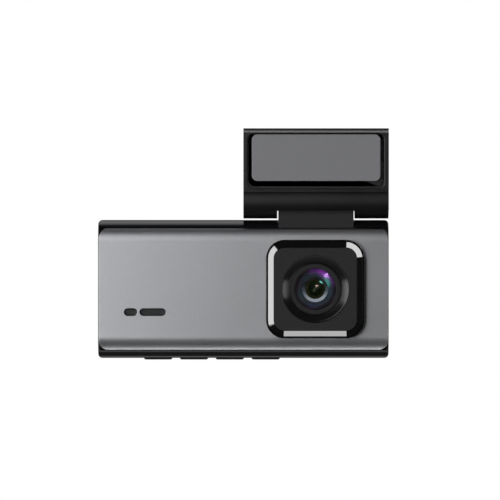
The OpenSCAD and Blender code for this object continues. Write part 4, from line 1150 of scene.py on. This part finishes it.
# %% Hinge caps and bracket screws
caps = []
for s in (-1, 1):
    flat, back = s * (half_bracket - 0.05 * MM), s * (half_bracket - 0.95 * MM)
    profile = [(0, flat), (2.55 * MM, flat), (2.85 * MM, flat - s * 0.06 * MM),
               (3.0 * MM, flat - s * 0.22 * MM), (3.0 * MM, back), (0, back)]
    caps.append(build("cap", turned_rings(profile, hinge, "x", 64), smooth=30))


def merged(name, parts):
    """Joins several solids, none touching another, into one piece."""
    work = bmesh.new()
    for part in parts:
        work.from_mesh(part.data)
    mesh = bpy.data.meshes.new(name)
    work.to_mesh(mesh)
    work.free()
    for part in parts:
        bpy.data.objects.remove(part)
    piece = bpy.data.objects.new(name, mesh)
    bpy.context.scene.collection.objects.link(piece)
    tidy_mesh(piece, 30)
    return piece


hinge_ends = stands_for(merged("hinge_end_caps", caps), "hinge_caps", cover_finish)

# %% [markdown]
# ## Keys
# Each key is an upright profile carried round a slot shape: a rounded face, a straight side and the
# flange that keeps it in the body.

# %% Keys
key_pieces = []
for node, middle in zip(keys, key_mids):
    low, high = span(node)
    flange_z = body_low[2] + WALL + 0.1 * MM
    profile = np.array([(1.2 * MM, low[2]), (0.5 * MM, low[2]), (0.28 * MM, low[2] + 0.05 * MM),
                        (0.10 * MM, low[2] + 0.17 * MM), (0, low[2] + 0.38 * MM), (0, flange_z),
                        (-0.5 * MM, flange_z), (-0.5 * MM, flange_z + 0.7 * MM),
                        (0.4 * MM, flange_z + 0.75 * MM), (0.4 * MM, high[2])])
    rings = upright(carried((KEY_L, KEY_W), KEY_W / 2 - TINY, profile, (middle[0], 0, middle[1]), 14))
    key_pieces.append(build(node + "_cap", rings, smooth=32))
    stands_for(key_pieces[-1], node, key_finish)

# %% [markdown]
# ## Rear glass
# A flat sheet of glass over the display: a profile with a softened edge, carried round a rounded
# rectangle, as the pad is.

# %% Rear glass
profile = filleted([(0.1 * MM, glass_low[1]), (0, glass_low[1]), (0, glass_high[1]),
                    (0.8 * MM, glass_high[1])], [0.05 * MM, 0.25 * MM], 5)
glass = build("display_cover_glass", carried((glass_size[0], glass_size[2]), GLASS_R, profile, glass_mid, 16),
              smooth=50)
stands_for(glass, "display_glass", screen_finish)

# %% [markdown]
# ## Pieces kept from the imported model
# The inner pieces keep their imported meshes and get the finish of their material.

# %% Finishes of the kept pieces
KEPT = [
    (screw_finish, "bracket_screws neck_screws case_screws"),
    (steel_finish, "hinge_pin friction_washers holder_screws sensor_screws"),
    (inner_finish, "lens_spacer retaining_ring lens_holder rear_camera_jack speaker"),
    (tin_finish, "wireless_module button_switches card_socket usb_socket microphone"),
    (solder_finish, "sensor_board main_board"), (chip_finish, "processor memory_chip board_parts"),
    (lcd_finish, "image_sensor lcd_panel"), (filter_finish, "infrared_filter"),
    (cream_finish, "board_connector"), (heat_finish, "heat_pad"), (sheet_finish, "heat_spreader"),
    (white_finish, "backlight"), (mesh_finish, "sound_mesh"), (rubber_finish, "microphone_boot"),
    (foil_finish, "backup_battery"), (film_finish, "wifi_antenna"), (card_finish, "memory_card"),
]
for finish, nodes in KEPT:
    for node in nodes.split():
        kept = frame["nodes"][node]
        kept.data.materials.clear()
        kept.data.materials.append(finish)
print(sum(len(nodes.split()) for finish, nodes in KEPT), "packed meshes keep their shape")

# %% [markdown]
# ## Which light falls on what
# The strong boxes are there for the bezel's chamfer alone, and the small ones for the glass. Light
# linking keeps them off the satin plate, which would otherwise catch all of them along its rounded edges.

# %% Light linking
def shines_on(light, pieces, leave_out=False):
    """Lets a light reach only these pieces, or all but these."""
    group = bpy.data.collections.new(light.name + "_pieces")
    for piece in pieces:
        group.objects.link(piece)
    light.light_linking.receiver_collection = group
    for item in group.collection_objects:
        item.light_linking.link_state = "EXCLUDE" if leave_out else "INCLUDE"


glass_pieces = [front_lens, second, rear_glass]
for box in (left_box, *left_ends, right_box, strip_below):
    shines_on(box, [bezel])
for small in (spark, glint, low_glint):
    shines_on(small, glass_pieces)
shines_on(panel, glass_pieces + [bezel], leave_out=True)
shines_on(rear_box, [rear, glass, base, neck, hinge_ends])
shines_on(top_strip, [cover])
shines_on(low_strip, [shell, ring] + key_pieces)
shines_on(edge_strip, [plate])
